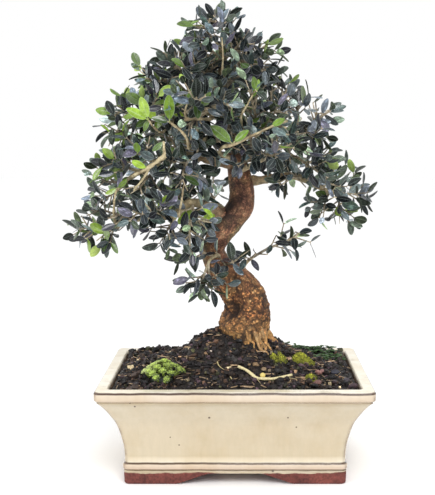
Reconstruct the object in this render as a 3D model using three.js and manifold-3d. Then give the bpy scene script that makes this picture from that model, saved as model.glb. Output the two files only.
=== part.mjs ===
// A small-leaved olive bonsai in a rectangular glazed pot with four clay feet, in millimetres, +Z up.
// The trunk and its branches are one solid, each leafy spray is its own solid and starts at a cut stub or a
// branch end, and the tree stands in a plain hole in the soil that fills the pot. The front looks along -Y.
import * as THREE from "three";
import Module from "manifold-3d";

const wasm = await Module();
wasm.setup();

// Driving dimensions of the pot, measured from its own centre at the level of the feet
const POT_LENGTH = 254;
const POT_DEPTH = 178;
const POT_HEIGHT = 94;
const RIM_WIDTH = 11.5;
const FLOOR_UNDERSIDE = 10.5;
const FLOOR_TOP = 18;
const FOOT_WALL = 12;
const DRAIN_RADIUS = 9;
const DRAIN_FROM_CENTRE = 50;
const TOUCHING_GAP = 0.3;

// Outer profile of the pot from the foot to the rim: height, and how far it stands in from the rim's edge
const POT_PROFILE = [
  [0, 24.6],
  [1.2, 23.6],
  [11, 23.3],
  [11.5, 24],
  [12.2, 23.1],
  [12.9, 23.1],
  [13.7, 24.2],
  [14.6, 22.7],
  [19, 22.5],
  [20.2, 24.3],
  [25, 24.2],
  [38, 23],
  [57, 18.2],
  [67.8, 12.8],
  [77, 6.9],
  [83, 1.9],
  [84.4, 1.4],
  [85.6, 0],
  [92.6, 0],
  [POT_HEIGHT, 1.4],
];
// Inner wall of the pot from the rim down to the floor, in the same terms
const CAVITY_PROFILE = [
  [POT_HEIGHT, 10.4],
  [92.8, RIM_WIDTH],
  [84, 13],
  [57, 28],
  [FLOOR_TOP, 34],
];
const RIM_CORNER = 5;
const CORNER_STEPS = 2;

// Gaps between the feet: half the gap's width at the pot's underside and at the table
const LONG_GAP = { top: 25, bottom: 58 };
const SHORT_GAP = { top: 14, bottom: 33 };

// Soil: it meets the pot's wall just under the rim and is heaped up round the trunk
const SOIL_EDGE = 89;
const HEAP = { x: -3, y: 4, height: 45, widthX: 48, widthY: 37 };

// Trunk centreline from the root end in the soil to the top of the leader: x, y, z and radius
const TRUNK = [
  [8, 2, 80, 22],
  [8, 2, 98, 25],
  [9, 2, 114, 24.5],
  [10, 2, 128, 22.5],
  [12, 0, 144, 20.5],
  [11, 0, 159, 19.5],
  [3, 0, 174, 19],
  [-11, 0, 189, 16],
  [-19, -2, 201, 12.8],
  [-21, -4, 213, 11],
  [-16, -4, 226, 11.8],
  [-6, -2, 240, 12.3],
  [4, 0, 253, 12.3],
  [7, 2, 268, 12.1],
  [4, 4, 283, 10.8],
  [0, 4, 298, 8.8],
  [-3, 3, 313, 7.4],
  [-7, 0, 329, 6.3],
  [-9, -2, 346, 5.2],
  [-11, -2, 365, 4.3],
  [-13, 0, 384, 3.4],
  [-13, 1, 402, 2.5],
  [-11, 1, 417, 1.7],
];
const TRUNK_SIDES = 12;
const TRUNK_RINGS = 27;

// Each branch: its line from inside the trunk to its end, and its radius at both ends
const BRANCHES = {
  low_left: {
    line: [[-13, -6, 245], [-28, -22, 256], [-42, -34, 260], [-55, -40, 250], [-73, -42, 246],
      [-93, -44, 245], [-114, -44, 238]],
    radii: [5, 1.6],
  },
  mid_left: {
    line: [[0, 2, 296], [-20, -8, 298], [-41, -16, 303], [-63, -26, 303], [-79, -34, 293],
      [-94, -38, 285], [-109, -36, 272]],
    radii: [5, 1.6],
  },
  high_left: {
    line: [[-5, 2, 323], [-24, -4, 327], [-45, -10, 323], [-60, -16, 333], [-76, -16, 334],
      [-92, -12, 340]],
    radii: [4.4, 1.5],
  },
  top_left: {
    line: [[-10, -2, 359], [-24, 0, 366], [-40, 4, 373], [-55, 4, 375], [-70, 2, 374]],
    radii: [3.2, 1.4],
  },
  top_right: {
    line: [[-13, 0, 372], [-3, 0, 379], [7, -2, 387], [16, -2, 392]],
    radii: [2.7, 1.3],
  },
  high_right: {
    line: [[-7, -2, 318], [4, -14, 321], [18, -24, 325], [30, -28, 330], [43, -28, 333], [56, -24, 333],
      [68, -20, 332]],
    radii: [4.4, 1.5],
  },
  mid_right: {
    line: [[0, 6, 300], [16, 4, 300], [31, 0, 302], [45, -4, 303], [58, -6, 301], [70, -6, 297]],
    radii: [4.2, 1.5],
  },
  low_right: {
    line: [[5, 6, 279], [22, 4, 279], [40, 2, 282], [57, 0, 283], [74, -2, 276], [91, -4, 268],
      [104, -4, 266]],
    radii: [4.8, 1.6],
  },
  back_left: {
    line: [[-3, 6, 312], [-22, 30, 317], [-47, 56, 321], [-73, 76, 317]],
    radii: [4, 1.5],
  },
  back_right: {
    line: [[-5, 4, 329], [10, 28, 333], [30, 52, 335], [53, 68, 329]],
    radii: [3.8, 1.5],
  },
  back_high: {
    line: [[-10, 2, 352], [-14, 26, 362], [-18, 44, 373]],
    radii: [3, 1.4],
  },
  front: {
    line: [[-8, -4, 338], [-12, -26, 342], [-21, -46, 345], [-28, -60, 346]],
    radii: [3.2, 1.4],
  },
  back_low: {
    line: [[-11, 4, 242], [-14, 30, 250], [-26, 54, 252], [-48, 74, 248]],
    radii: [4, 1.5],
  },
  front_right: {
    line: [[2, -4, 287], [14, -26, 294], [26, -46, 300]],
    radii: [3.2, 1.4],
  },
  twig_left: {
    line: [[-14, -8, 207], [-19, -18, 208], [-24, -27, 205], [-27, -32, 198]],
    radii: [1.8, 1.3],
  },
  twig_right: {
    line: [[5, 0, 192], [12, -2, 201], [22, -4, 208]],
    radii: [1.8, 1.2],
  },
};
const BRANCH_SIDES = 5;

// Each spray: how far along its branch it leaves it, from 0 to 1, and where its tip is
const SPRAYS = {
  leader: [[1, [-18, 0, 429]], [0.955, [-30, -8, 424]], [0.92, [6, -18, 409]], [0.87, [-37, 16, 410]]],
  low_left: [[1, [-140, -44, 239]], [0.86, [-119, -54, 234]], [0.8, [-128, -28, 255]],
    [0.62, [-90, -64, 254]], [0.45, [-66, -52, 231]], [0.3, [-42, -48, 211]]],
  mid_left: [[1, [-122, -34, 264]], [0.9, [-125, -20, 280]], [0.75, [-111, -46, 299]],
    [0.6, [-87, -60, 311]], [0.52, [-88, -58, 274]], [0.35, [-48, -62, 282]]],
  high_left: [[1, [-105, -10, 345]], [0.85, [-115, -30, 324]], [0.7, [-82, -38, 352]],
    [0.5, [-61, -48, 352]], [0.2, [-26, -40, 312]]],
  top_left: [[1, [-80, 0, 372]], [0.75, [-58, 8, 393]], [0.5, [-46, -24, 384]]],
  top_right: [[1, [21, -4, 402]], [0.7, [32, -24, 380]]],
  high_right: [[1, [78, -18, 343]], [0.85, [57, -32, 349]], [0.7, [44, -14, 366]], [0.6, [56, -58, 318]],
    [0.35, [14, -56, 362]]],
  mid_right: [[1, [84, -2, 302]], [0.6, [50, -42, 306]], [0.8, [76, -38, 290]]],
  low_right: [[1, [114, -2, 269]], [0.92, [99, -14, 252]], [0.8, [84, -26, 258]], [0.55, [50, -38, 287]],
    [0.85, [96, 18, 284]]],
  back_left: [[1, [-107, 96, 315]], [0.8, [-82, 92, 348]], [0.7, [-68, 90, 286]]],
  back_right: [[1, [68, 90, 324]], [0.8, [46, 84, 352]], [0.6, [32, 74, 305]]],
  back_high: [[1, [-25, 72, 396]]],
  front: [[1, [-36, -86, 355]]],
  back_low: [[1, [-76, 98, 253]], [0.7, [-34, 80, 219]]],
  front_right: [[1, [40, -70, 313]], [0.6, [13, -60, 326]]],
  twig_left: [[1, [-32, -40, 185]]],
  twig_right: [[1, [60, -8, 227]]],
};
const LEAF_LENGTH = 17.5;
const LEAF_SHARE = 0.45;
const LEAF_THICKNESS = 1;
const LEAF_SPACING = 9;
const STEM_RADII = [1.3, 0.8];
const TWIG_RADII = [0.5, 0.7];
const TWIG_LENGTH = 21;
const TWIG_COUNT = 7;
const TRIES = 6;
// Each twig, and each rosette, is turned from the last by this angle
const GOLDEN_ANGLE = 2.4;
// Each spray draws its own random numbers
const FIRST_SEED = 11;
const SEED_STEP = 7919;
// The share of a stem and of a twig that is bare before the first leaves
const BARE_STEM = 0.34;
const BARE_TWIG = 0.45;
// How leaves open from their stem, turn round it and roll about themselves, in radians, and their size
const SIDE_LEAVES = { open: 1, turn: 0.7, roll: 0.9, size: 1 };
const TIP_LEAVES = { open: 0.72, turn: 0.3, roll: 0.5, size: 0.86 };

const V = (x, y, z) => new THREE.Vector3(x, y, z);
const UP = V(0, 0, 1);

// A repeatable random number source, from 0 to 1
function randomSource(seed) {
  let state = seed >>> 0;
  return () => {
    state = (Math.imul(state, 1664525) + 1013904223) >>> 0;
    return state / 4294967296;
  };
}

// Two directions square to a line's direction
function across(direction) {
  const reference = Math.abs(direction.z) > 0.9 ? V(1, 0, 0) : UP;
  const u = new THREE.Vector3().crossVectors(direction, reference).normalize();
  return [u, new THREE.Vector3().crossVectors(direction, u)];
}

// The direction at an angle round a line, square to it
function around(direction, angle) {
  const [u, v] = across(direction);
  return u.multiplyScalar(Math.cos(angle)).addScaledVector(v, Math.sin(angle));
}

// A curve through points, with its direction at any place along it
function through(points) {
  const curve = new THREE.CatmullRomCurve3(points.map((p) => V(p[0], p[1], p[2])), false, "catmullrom", 0.5);
  return { at: (t) => curve.getPoint(t), along: (t) => directionOf(curve, t) };
}

function directionOf(curve, t) {
  const step = 0.001;
  const from = curve.getPoint(Math.max(0, t - step));
  return curve.getPoint(Math.min(1, t + step)).sub(from).normalize();
}

function mix(a, b, share) {
  return a + (b - a) * share;
}

// A closed surface through rings of equal count, each turning anticlockwise about the way it travels
function loft(rings) {
  const count = rings[0].length;
  const faces = [];
  const last = (rings.length - 1) * count;
  for (let j = 0; j < count; j++) {
    const k = (j + 1) % count;
    for (let i = 0; i < last; i += count) {
      faces.push(i + j, i + k, i + count + k, i + j, i + count + k, i + count + j);
    }
  }
  for (let j = 1; j < count - 1; j++) faces.push(0, j + 1, j, last, last + j, last + j + 1);
  return surface(rings.flat(), faces);
}

function surface(vertices, faces) {
  const geometry = new THREE.BufferGeometry().setFromPoints(vertices);
  geometry.setIndex(faces);
  return geometry;
}

// A ring of points round a centre, square to a direction
function ringAround(centre, direction, sides, radius) {
  const [u, v] = across(direction);
  return Array.from({ length: sides }, (_, j) => {
    const angle = (2 * Math.PI * j) / sides;
    return centre.clone()
      .addScaledVector(u, radius * Math.cos(angle))
      .addScaledVector(v, radius * Math.sin(angle));
  });
}

// A round stem through stations of centre, direction and radius
function stem(stations, sides) {
  return loft(stations.map((s) => ringAround(s.centre, s.direction, sides, s.radius)));
}

function solid(geometry) {
  const vertProperties = geometry.attributes.position.array;
  const triVerts = new Uint32Array(geometry.index.array);
  return new wasm.Manifold(new wasm.Mesh({ numProp: 3, vertProperties, triVerts }));
}

function geometryOf(manifold) {
  const mesh = manifold.getMesh();
  const geometry = new THREE.BufferGeometry();
  geometry.setAttribute("position", new THREE.BufferAttribute(mesh.vertProperties, 3));
  geometry.setIndex(new THREE.BufferAttribute(mesh.triVerts, 1));
  return geometry;
}

// Geometries joined into one solid, without the sliver faces that joins leave
const SLIVER = 0.004;
const union = (geometries) => wasm.Manifold.union(geometries.map(solid)).simplify(SLIVER);

// Growth of the tree

const trunkCurve = through(TRUNK);
const branchCurves = Object.fromEntries(Object.entries(BRANCHES).map(([name, b]) => [name, through(b.line)]));

function trunkRadius(t) {
  const place = t * (TRUNK.length - 1);
  const i = Math.min(Math.floor(place), TRUNK.length - 2);
  return mix(TRUNK[i][3], TRUNK[i + 1][3], place - i);
}

// The line and radius that a group of sprays grows from: a branch, or the trunk for the leader's sprays
function carrier(name) {
  if (name === "leader") return { curve: trunkCurve, radiusAt: trunkRadius };
  const radii = BRANCHES[name].radii;
  return { curve: branchCurves[name], radiusAt: (t) => mix(radii[0], radii[1], t) };
}

// Keep-out balls: everything that has grown so far, so that sprays stay clear of each other and of the wood
const balls = [];
const OWN_SHARE = 0.5;
const BALL_STEP = 2;
const BALL_MARGIN = 0.9;
const BASE_FREE = 8;
const STUB_STEP = 0.5;
const STUB_RADIUS = 1.3;
const STEM_TRIES = 40;
const LONGEST_STUB = 0.6;
const BARK_SWELL = 1.08;

function keepOut(centre, radius, owner) {
  balls.push({ x: centre.x, y: centre.y, z: centre.z, radius, owner });
}

function isClear(candidates, owner, ignored = "") {
  return candidates.every((c) =>
    balls.every((b) => {
      const own = b.owner === owner;
      if (b.owner === ignored || (own && c.root)) return true;
      const reach = (c.radius + b.radius + TOUCHING_GAP) * (own ? OWN_SHARE : 1);
      const [dx, dy, dz] = [c.centre.x - b.x, c.centre.y - b.y, c.centre.z - b.z];
      return dx * dx + dy * dy + dz * dz >= reach * reach;
    }),
  );
}

// Balls along a line from one share of it to another
function lineBalls(pointAt, length, radiusAt, from = 0, to = 1) {
  const count = Math.ceil(((to - from) * length) / BALL_STEP);
  const made = [];
  for (let i = 0; i <= count; i++) {
    const t = mix(from, to, i / count);
    made.push({ centre: pointAt(t), radius: radiusAt(t) + BALL_MARGIN });
  }
  return made;
}

function curveLength(pointAt) {
  const parts = 24;
  let length = 0;
  for (let i = 0; i < parts; i++) length += pointAt(i / parts).distanceTo(pointAt((i + 1) / parts));
  return length;
}

function growWood() {
  const swollen = (t) => trunkRadius(t) * BARK_SWELL;
  for (const ball of lineBalls(trunkCurve.at, curveLength(trunkCurve.at), swollen)) {
    keepOut(ball.centre, ball.radius, "wood");
  }
  for (const name of Object.keys(BRANCHES)) {
    const { curve, radiusAt } = carrier(name);
    for (const ball of lineBalls(curve.at, curveLength(curve.at), radiusAt)) {
      keepOut(ball.centre, ball.radius, "wood");
    }
  }
}

// How far along its stem a side spray is clear of the wood: up to there the stem is a stub of the branch
function stubShare(pointAt, arc) {
  const steps = Math.ceil(arc / STUB_STEP);
  for (let i = 1; i < steps; i++) {
    const ball = { centre: pointAt(i / steps), radius: STEM_RADII[0] + BALL_MARGIN };
    if (isClear([ball], "stub")) return i / steps;
  }
  return 1;
}

function stemLine(base, leave, end) {
  const chord = end.clone().sub(base);
  const length = chord.length();
  const arrive = chord.normalize().addScaledVector(UP, 0.2).normalize();
  const away = base.clone().addScaledVector(leave, 0.35 * length);
  const before = end.clone().addScaledVector(arrive, -0.3 * length);
  return new THREE.CubicBezierCurve3(base, away, before, end);
}

// The stem of a spray leaves its branch outwards and lifts at its tip; it is moved a little until it is clear
function growStem(name, index, at, tip, random) {
  const { curve } = carrier(name);
  const base = curve.at(at);
  const wood = curve.along(at);
  const owner = `${name}_${index}`;
  for (let attempt = 0; attempt < STEM_TRIES; attempt++) {
    const jitter = V(random() - 0.5, random() - 0.5, random() - 0.5).multiplyScalar(3 * attempt);
    const end = V(...tip).add(jitter);
    const forward = end.clone().sub(base).normalize();
    const line = stemLine(base, at === 1 ? wood : forward.addScaledVector(wood, 0.3).normalize(), end);
    const pointAt = (t) => line.getPoint(t);
    const arc = curveLength(pointAt);
    const stub = at === 1 ? 0 : stubShare(pointAt, arc);
    const free = at === 1 ? BASE_FREE / arc : stub;
    const stemBalls = lineBalls(pointAt, arc, (t) => mix(STEM_RADII[0], STEM_RADII[1], t), free);
    const stubBalls = at === 1 ? [] : lineBalls(pointAt, arc, () => STUB_RADIUS, 0, stub);
    if (stub < LONGEST_STUB && isClear(stemBalls, owner) && isClear(stubBalls, owner, "wood")) {
      for (const ball of stemBalls) keepOut(ball.centre, ball.radius, owner);
      for (const ball of stubBalls) keepOut(ball.centre, ball.radius, "wood");
      const along = (t) => directionOf(line, t);
      return { owner, at, stub, pointAt, along, length: arc, twigs: [], sideLeaves: [], tipLeaves: [] };
    }
  }
  throw new Error(`no room for the stem of ${owner}`);
}

// Side twigs, each turned from the last as leaves are on the stem; those with no room are left out
function growTwigs(spray, random) {
  for (let i = 0; i < TWIG_COUNT; i++) {
    const t = mix(Math.max(0.3, spray.stub + 0.1), 0.9, i / (TWIG_COUNT - 1));
    const base = spray.pointAt(t);
    const tangent = spray.along(t);
    for (let attempt = 0; attempt < TRIES; attempt++) {
      const angle = i * GOLDEN_ANGLE + (random() - 0.5) * 1.2 + attempt;
      const length = TWIG_LENGTH * (1.1 - 0.45 * t) * (0.8 + 0.35 * random());
      const direction = tangent.clone().multiplyScalar(0.75).add(around(tangent, angle))
        .addScaledVector(UP, 0.12).normalize();
      const pointAt = (s) => base.clone().addScaledVector(direction, s * length);
      const twigBalls = lineBalls(pointAt, length, (s) => mix(TWIG_RADII[0], TWIG_RADII[1], s), 0.2);
      if (isClear(twigBalls, spray.owner)) {
        for (const ball of twigBalls) keepOut(ball.centre, ball.radius, spray.owner);
        spray.twigs.push({ pointAt, along: () => direction, length, main: i % 3 === 0, tipLeaves: [] });
        break;
      }
    }
  }
}

// Where a leaf blade is kept clear: share of its length, and half its width there as a share of its width
const LEAF_STATIONS = [[0.18, 0.32], [0.42, 0.52], [0.66, 0.48], [0.9, 0.27]];

function leafBalls(leaf) {
  return LEAF_STATIONS.map(([along, half], index) => ({
    centre: leaf.base.clone().addScaledVector(leaf.axis, along * leaf.length),
    radius: Math.max(half * leaf.width, 0.13 * leaf.length) + 0.2,
    root: index === 0,
  }));
}

// One leaf at a place on a stem, or nothing if no try finds room for it
function growLeaf(spray, base, tangent, round, style, random) {
  for (let attempt = 0; attempt < TRIES; attempt++) {
    const open = style.open * (0.8 + 0.45 * random());
    const turn = round + (random() - 0.5) * style.turn * (1 + 0.5 * attempt);
    const length = LEAF_LENGTH * style.size * (0.82 + 0.36 * random());
    const width = length * LEAF_SHARE * (0.86 + 0.3 * random());
    const roll = (random() - 0.5) * style.roll;
    const out = around(tangent, turn);
    const axis = tangent.clone().multiplyScalar(Math.cos(open))
      .addScaledVector(out, Math.sin(open)).normalize();
    const face = tangent.clone().addScaledVector(UP, 0.3);
    face.addScaledVector(axis, -face.dot(axis)).normalize().applyAxisAngle(axis, roll);
    const leaf = { base, axis, face, out, length, width };
    const taken = leafBalls(leaf);
    if (isClear(taken, spray.owner)) {
      for (const ball of taken) keepOut(ball.centre, ball.radius, spray.owner);
      return leaf;
    }
  }
  return null;
}

// Opposite pairs along a line, each pair square to the last, and a closer pair at its tip
function growPairs(spray, shoot, from, startAngle, isMain, random) {
  const count = Math.max(1, Math.floor(((1 - from) * shoot.length) / LEAF_SPACING));
  for (let k = 0; k <= count; k++) {
    const t = from + ((1 - from) * k) / count;
    const style = k === count ? TIP_LEAVES : SIDE_LEAVES;
    const list = k === count ? shoot.tipLeaves : spray.sideLeaves;
    for (const side of [0, Math.PI]) {
      const round = startAngle + k * (Math.PI / 2) + side;
      const leaf = growLeaf(spray, shoot.pointAt(t), shoot.along(t), round, style, random);
      if (leaf) list.push({ ...leaf, main: isMain(k) });
    }
  }
}

function growLeaves(spray, random) {
  growPairs(spray, spray, Math.max(BARE_STEM, spray.stub + 0.1), random() * 3, (k) => k === 1, random);
  for (const twig of spray.twigs) growPairs(spray, twig, BARE_TWIG, random() * 3, () => false, random);
}

function growSprays() {
  growWood();
  const grown = [];
  let seed = FIRST_SEED;
  for (const [name, list] of Object.entries(SPRAYS)) {
    list.forEach(([at, tip], index) => {
      const random = randomSource(seed * SEED_STEP);
      seed += 1;
      grown.push({ spray: growStem(name, index + 1, at, tip, random), random });
    });
  }
  for (const { spray, random } of grown) growTwigs(spray, random);
  for (const { spray, random } of grown) growLeaves(spray, random);
  return grown.map((g) => g.spray);
}

// Solids of the tree

// How much the bark swells or sinks, as a share of the radius, at a place along the trunk and round it
function barkShape(t, angle) {
  const knee = Math.exp(-(((t - 0.24) / 0.1) ** 2));
  const foot = Math.exp(-((t / 0.1) ** 2));
  const knots = 0.05 * Math.sin(3 * angle + 40 * t) * (1 - 0.6 * t) + 0.03 * Math.sin(5 * angle - 63 * t);
  return 1 + knots + 0.06 * knee * Math.cos(2 * angle + 0.6) + 0.12 * foot * Math.cos(5 * angle);
}

// The hollow on the left of the trunk's foot, as a depth in millimetres
const HOLLOW = { x: -6, y: -18, z: 146, reach: 13, depth: 9 };

// One ring of the trunk. Its sides are turned in the plane of the front view, so the rings don't twist.
function trunkRing(t, extra) {
  const centre = trunkCurve.at(t);
  const direction = trunkCurve.along(t);
  const side = V(direction.z, 0, -direction.x).normalize();
  const back = new THREE.Vector3().crossVectors(direction, side);
  return Array.from({ length: TRUNK_SIDES }, (_, j) => {
    const angle = (2 * Math.PI * j) / TRUNK_SIDES;
    const out = side.clone().multiplyScalar(Math.cos(angle)).addScaledVector(back, Math.sin(angle));
    const point = centre.clone().addScaledVector(out, trunkRadius(t) * barkShape(t, angle) + extra);
    const away = point.distanceTo(V(HOLLOW.x, HOLLOW.y, HOLLOW.z)) / HOLLOW.reach;
    return point.addScaledVector(out, -HOLLOW.depth * Math.exp(-away * away));
  });
}

// The trunk up to a share of its length, or a plug larger than it by some millimetres all round
function trunkLoft(extra, upTo) {
  const rings = [];
  for (let i = 0; i <= TRUNK_RINGS; i++) {
    const t = i / TRUNK_RINGS;
    if (t <= upTo) rings.push(trunkRing(t, extra));
  }
  for (const point of rings[0]) point.z -= extra;
  return loft(rings);
}

function branchGeometry(name) {
  const { curve, radiusAt } = carrier(name);
  const steps = BRANCHES[name].line.length - 1;
  const stations = [];
  for (let i = 0; i <= steps; i++) {
    const t = i / steps;
    stations.push({ centre: curve.at(t), direction: curve.along(t), radius: radiusAt(t) });
  }
  return stem(stations, BRANCH_SIDES);
}

// The short cut stub on a branch that a side spray continues
function stubGeometry(spray) {
  const stations = [0, spray.stub].map((t) => ({
    centre: spray.pointAt(t),
    direction: spray.along(spray.stub),
    radius: STUB_RADIUS,
  }));
  return stem(stations, 3);
}

function woodSolid(sprays) {
  const branches = Object.keys(BRANCHES).map(branchGeometry);
  const stubs = sprays.filter((s) => s.at < 1).map(stubGeometry);
  return union([trunkLoft(0, 1), ...branches, ...stubs]);
}

// A leaf blade: its edge, with the tip bent down, and a keel under its middle.
// Each point is a share of the length, a share of the width and a lift in millimetres.
const LEAF_POINTS = [[0.32, -0.46, 0], [0.7, -0.42, 0], [1, 0, -0.6], [0.7, 0.42, 0], [0.32, 0.46, 0],
  [0.42, 0, -LEAF_THICKNESS]];
// Faces from the first pair of edge points outwards: the upper side and the two slopes of the keel
const BLADE_FACES = [0, 1, 3, 0, 3, 4, 1, 2, 3, 5, 1, 0, 5, 2, 1, 5, 3, 2, 5, 4, 3];

function leafPoints(leaf) {
  const side = new THREE.Vector3().crossVectors(leaf.face, leaf.axis);
  return LEAF_POINTS.map(([along, aside, lift]) =>
    leaf.base.clone()
      .addScaledVector(leaf.axis, along * leaf.length)
      .addScaledVector(side, aside * leaf.width)
      .addScaledVector(leaf.face, lift));
}

// A leaf on the side of a stem, rooted in a point at the stem's middle
function sideLeafGeometry(leaf) {
  return surface([...leafPoints(leaf), leaf.base], [...BLADE_FACES, 6, 0, 4, 6, 5, 0, 6, 4, 5]);
}

// Two triangles across four corners in turn, split along the line that makes them bulge outwards
function bulgingQuad(a, b, c, d, vertices) {
  const [toB, toC, toD] = [b, c, d].map((v) => vertices[v].clone().sub(vertices[a]));
  return toB.cross(toC).dot(toD) < 0 ? [a, b, c, a, c, d] : [a, b, d, b, c, d];
}

// A four-sided stem or twig whose end splits into the roots of its last two leaves
function shootGeometry(stations, leaves) {
  const split = new THREE.Vector3();
  if (leaves.length) split.copy(leaves[0].out);
  if (leaves.length === 2) split.sub(leaves[1].out);
  if (!leaves.length) split.copy(across(stations[0].direction)[0]);
  const vertices = stations.flatMap(({ centre, direction, radius }) => {
    const u = split.clone().addScaledVector(direction, -split.dot(direction)).normalize();
    const v = new THREE.Vector3().crossVectors(direction, u);
    return [[0, -1], [1, 0], [0, 1], [-1, 0]].map(([a, b]) =>
      centre.clone().addScaledVector(u, a * radius).addScaledVector(v, b * radius));
  });
  const faces = [0, 2, 1, 0, 3, 2];
  const last = vertices.length - 4;
  for (let i = 0; i < last; i += 4) {
    for (let j = 0; j < 4; j++) {
      const k = (j + 1) % 4;
      faces.push(i + j, i + k, i + 4 + k, i + j, i + 4 + k, i + 4 + j);
    }
  }
  [[0, 1, 2], [2, 3, 0]].forEach((half, index) => {
    const root = half.map((j) => last + j);
    const leaf = leaves[index];
    if (!leaf) {
      faces.push(...root);
      return;
    }
    const n = vertices.length;
    vertices.push(...leafPoints(leaf));
    faces.push(...BLADE_FACES.map((f) => n + f));
    const blade = [n, n + 5, n + 4];
    for (let j = 0; j < 3; j++) {
      const k = (j + 1) % 3;
      faces.push(...bulgingQuad(root[j], root[k], blade[k], blade[j], vertices));
    }
  });
  return surface(vertices, faces);
}

const STEM_STEPS = 3;

function stemGeometry(spray) {
  const stations = [];
  for (let i = 0; i <= STEM_STEPS; i++) {
    const t = mix(spray.stub, 1, i / STEM_STEPS);
    const radius = mix(STEM_RADII[0], STEM_RADII[1], i / STEM_STEPS);
    stations.push({ centre: spray.pointAt(t), direction: spray.along(t), radius });
  }
  stations[0].centre.addScaledVector(stations[0].direction, TOUCHING_GAP);
  return shootGeometry(stations, spray.tipLeaves);
}

function twigGeometry(twig) {
  const stations = [0, 1].map((s) => ({
    centre: twig.pointAt(s),
    direction: twig.along(s),
    radius: TWIG_RADII[s],
  }));
  return shootGeometry(stations, twig.tipLeaves);
}

function spraySolid(spray) {
  const twigs = spray.twigs.filter((t) => t.main).map(twigGeometry);
  const leaves = spray.sideLeaves.filter((l) => l.main).map(sideLeafGeometry);
  return union([stemGeometry(spray), ...twigs, ...leaves]);
}

// The pot

// A rounded rectangle that stands in from the rim's outline by the same amount all round.
// Its long and its short sides are cut into steps.
function outline(height, inset, sideSteps = [1, 1]) {
  const cornerX = POT_LENGTH / 2 - inset - RIM_CORNER;
  const cornerY = POT_DEPTH / 2 - inset - RIM_CORNER;
  const corners = [[1, 1], [-1, 1], [-1, -1], [1, -1]];
  const cornerPoint = (index, turn) => {
    const angle = turn * (Math.PI / 2);
    const [sx, sy] = corners[index % 4];
    const [x, y] = [Math.cos(angle), Math.sin(angle)].map((n) => n * RIM_CORNER);
    return V(sx * cornerX + x, sy * cornerY + y, height);
  };
  const points = [];
  for (let index = 0; index < 4; index++) {
    for (let i = 0; i <= CORNER_STEPS; i++) points.push(cornerPoint(index, index + i / CORNER_STEPS));
    const from = points[points.length - 1];
    const to = cornerPoint(index + 1, index + 1);
    const steps = sideSteps[index % 2];
    for (let i = 1; i < steps; i++) points.push(from.clone().lerp(to, i / steps));
  }
  return points;
}

const prism = (sections) => solid(loft(sections));

// A wedge-sided gap between two feet, right through the pot along Y, or along X when turned
function footGap(gap, turned) {
  const reach = POT_LENGTH;
  const section = (y) => [
    V(-gap.bottom, y, -1),
    V(gap.bottom, y, -1),
    V(gap.top, y, FLOOR_UNDERSIDE),
    V(-gap.top, y, FLOOR_UNDERSIDE),
  ];
  const made = solid(loft([section(reach), section(-reach)]));
  return turned ? made.rotate([0, 0, 90]) : made;
}

function drainHole(x) {
  const ring = (z) => ringAround(V(x, 0, z), UP, 12, DRAIN_RADIUS);
  return prism([ring(FLOOR_UNDERSIDE - 2), ring(FLOOR_TOP + 2)]);
}

function potSolid() {
  const shell = prism([...POT_PROFILE, ...CAVITY_PROFILE].map(([z, inset]) => outline(z, inset)));
  const recess = prism([-1, FLOOR_UNDERSIDE].map((z) => outline(z, POT_PROFILE[2][1] + FOOT_WALL)));
  const cuts = [
    recess,
    footGap(LONG_GAP, false),
    footGap(SHORT_GAP, true),
    drainHole(-DRAIN_FROM_CENTRE),
    drainHole(DRAIN_FROM_CENTRE),
  ];
  return cuts.reduce((pot, cut) => pot.subtract(cut), shell);
}

// A plastic grid over a drain hole
const SCREEN = { size: 27, thickness: 1.2, hole: 5, pitch: 8, rows: 3 };

// A square plate centred on x and y, with its underside at z
function plate(x, y, z, size, thickness) {
  const corners = [[1, 1], [-1, 1], [-1, -1], [1, -1]];
  const section = (height) => corners.map(([sx, sy]) => V(x + (sx * size) / 2, y + (sy * size) / 2, height));
  return prism([section(z), section(z + thickness)]);
}

function screenSolid(x) {
  const { size, thickness, hole, pitch, rows } = SCREEN;
  const bottom = FLOOR_TOP + TOUCHING_GAP;
  let screen = plate(x, 0, bottom, size, thickness);
  for (let i = 0; i < rows; i++) {
    for (let j = 0; j < rows; j++) {
      const [dx, dy] = [i, j].map((n) => (n - (rows - 1) / 2) * pitch);
      screen = screen.subtract(plate(x + dx, dy, bottom - 1, hole, thickness + 2));
    }
  }
  return screen;
}

// The soil

function soilHeight(x, y) {
  const away = ((x - HEAP.x) / HEAP.widthX) ** 2 + ((y - HEAP.y) / HEAP.widthY) ** 2;
  const heap = HEAP.height * Math.exp(-away / 2);
  const waves = 1.1 * Math.sin(0.21 * x + 0.13 * y) * Math.sin(0.17 * y - 0.09 * x);
  const lumps = 0.7 * Math.sin(0.37 * x - 0.29 * y);
  return SOIL_EDGE + 0.5 + heap + waves + lumps;
}

const SOIL_SIDES = [4, 3];
const SOIL_EDGE_INSET = 13;
// Rings of the soil's upper side, as shares of the way from the trunk to the pot's wall
const SOIL_SHRINK = [0.88, 0.74, 0.6, 0.46, 0.33, 0.2];

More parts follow.
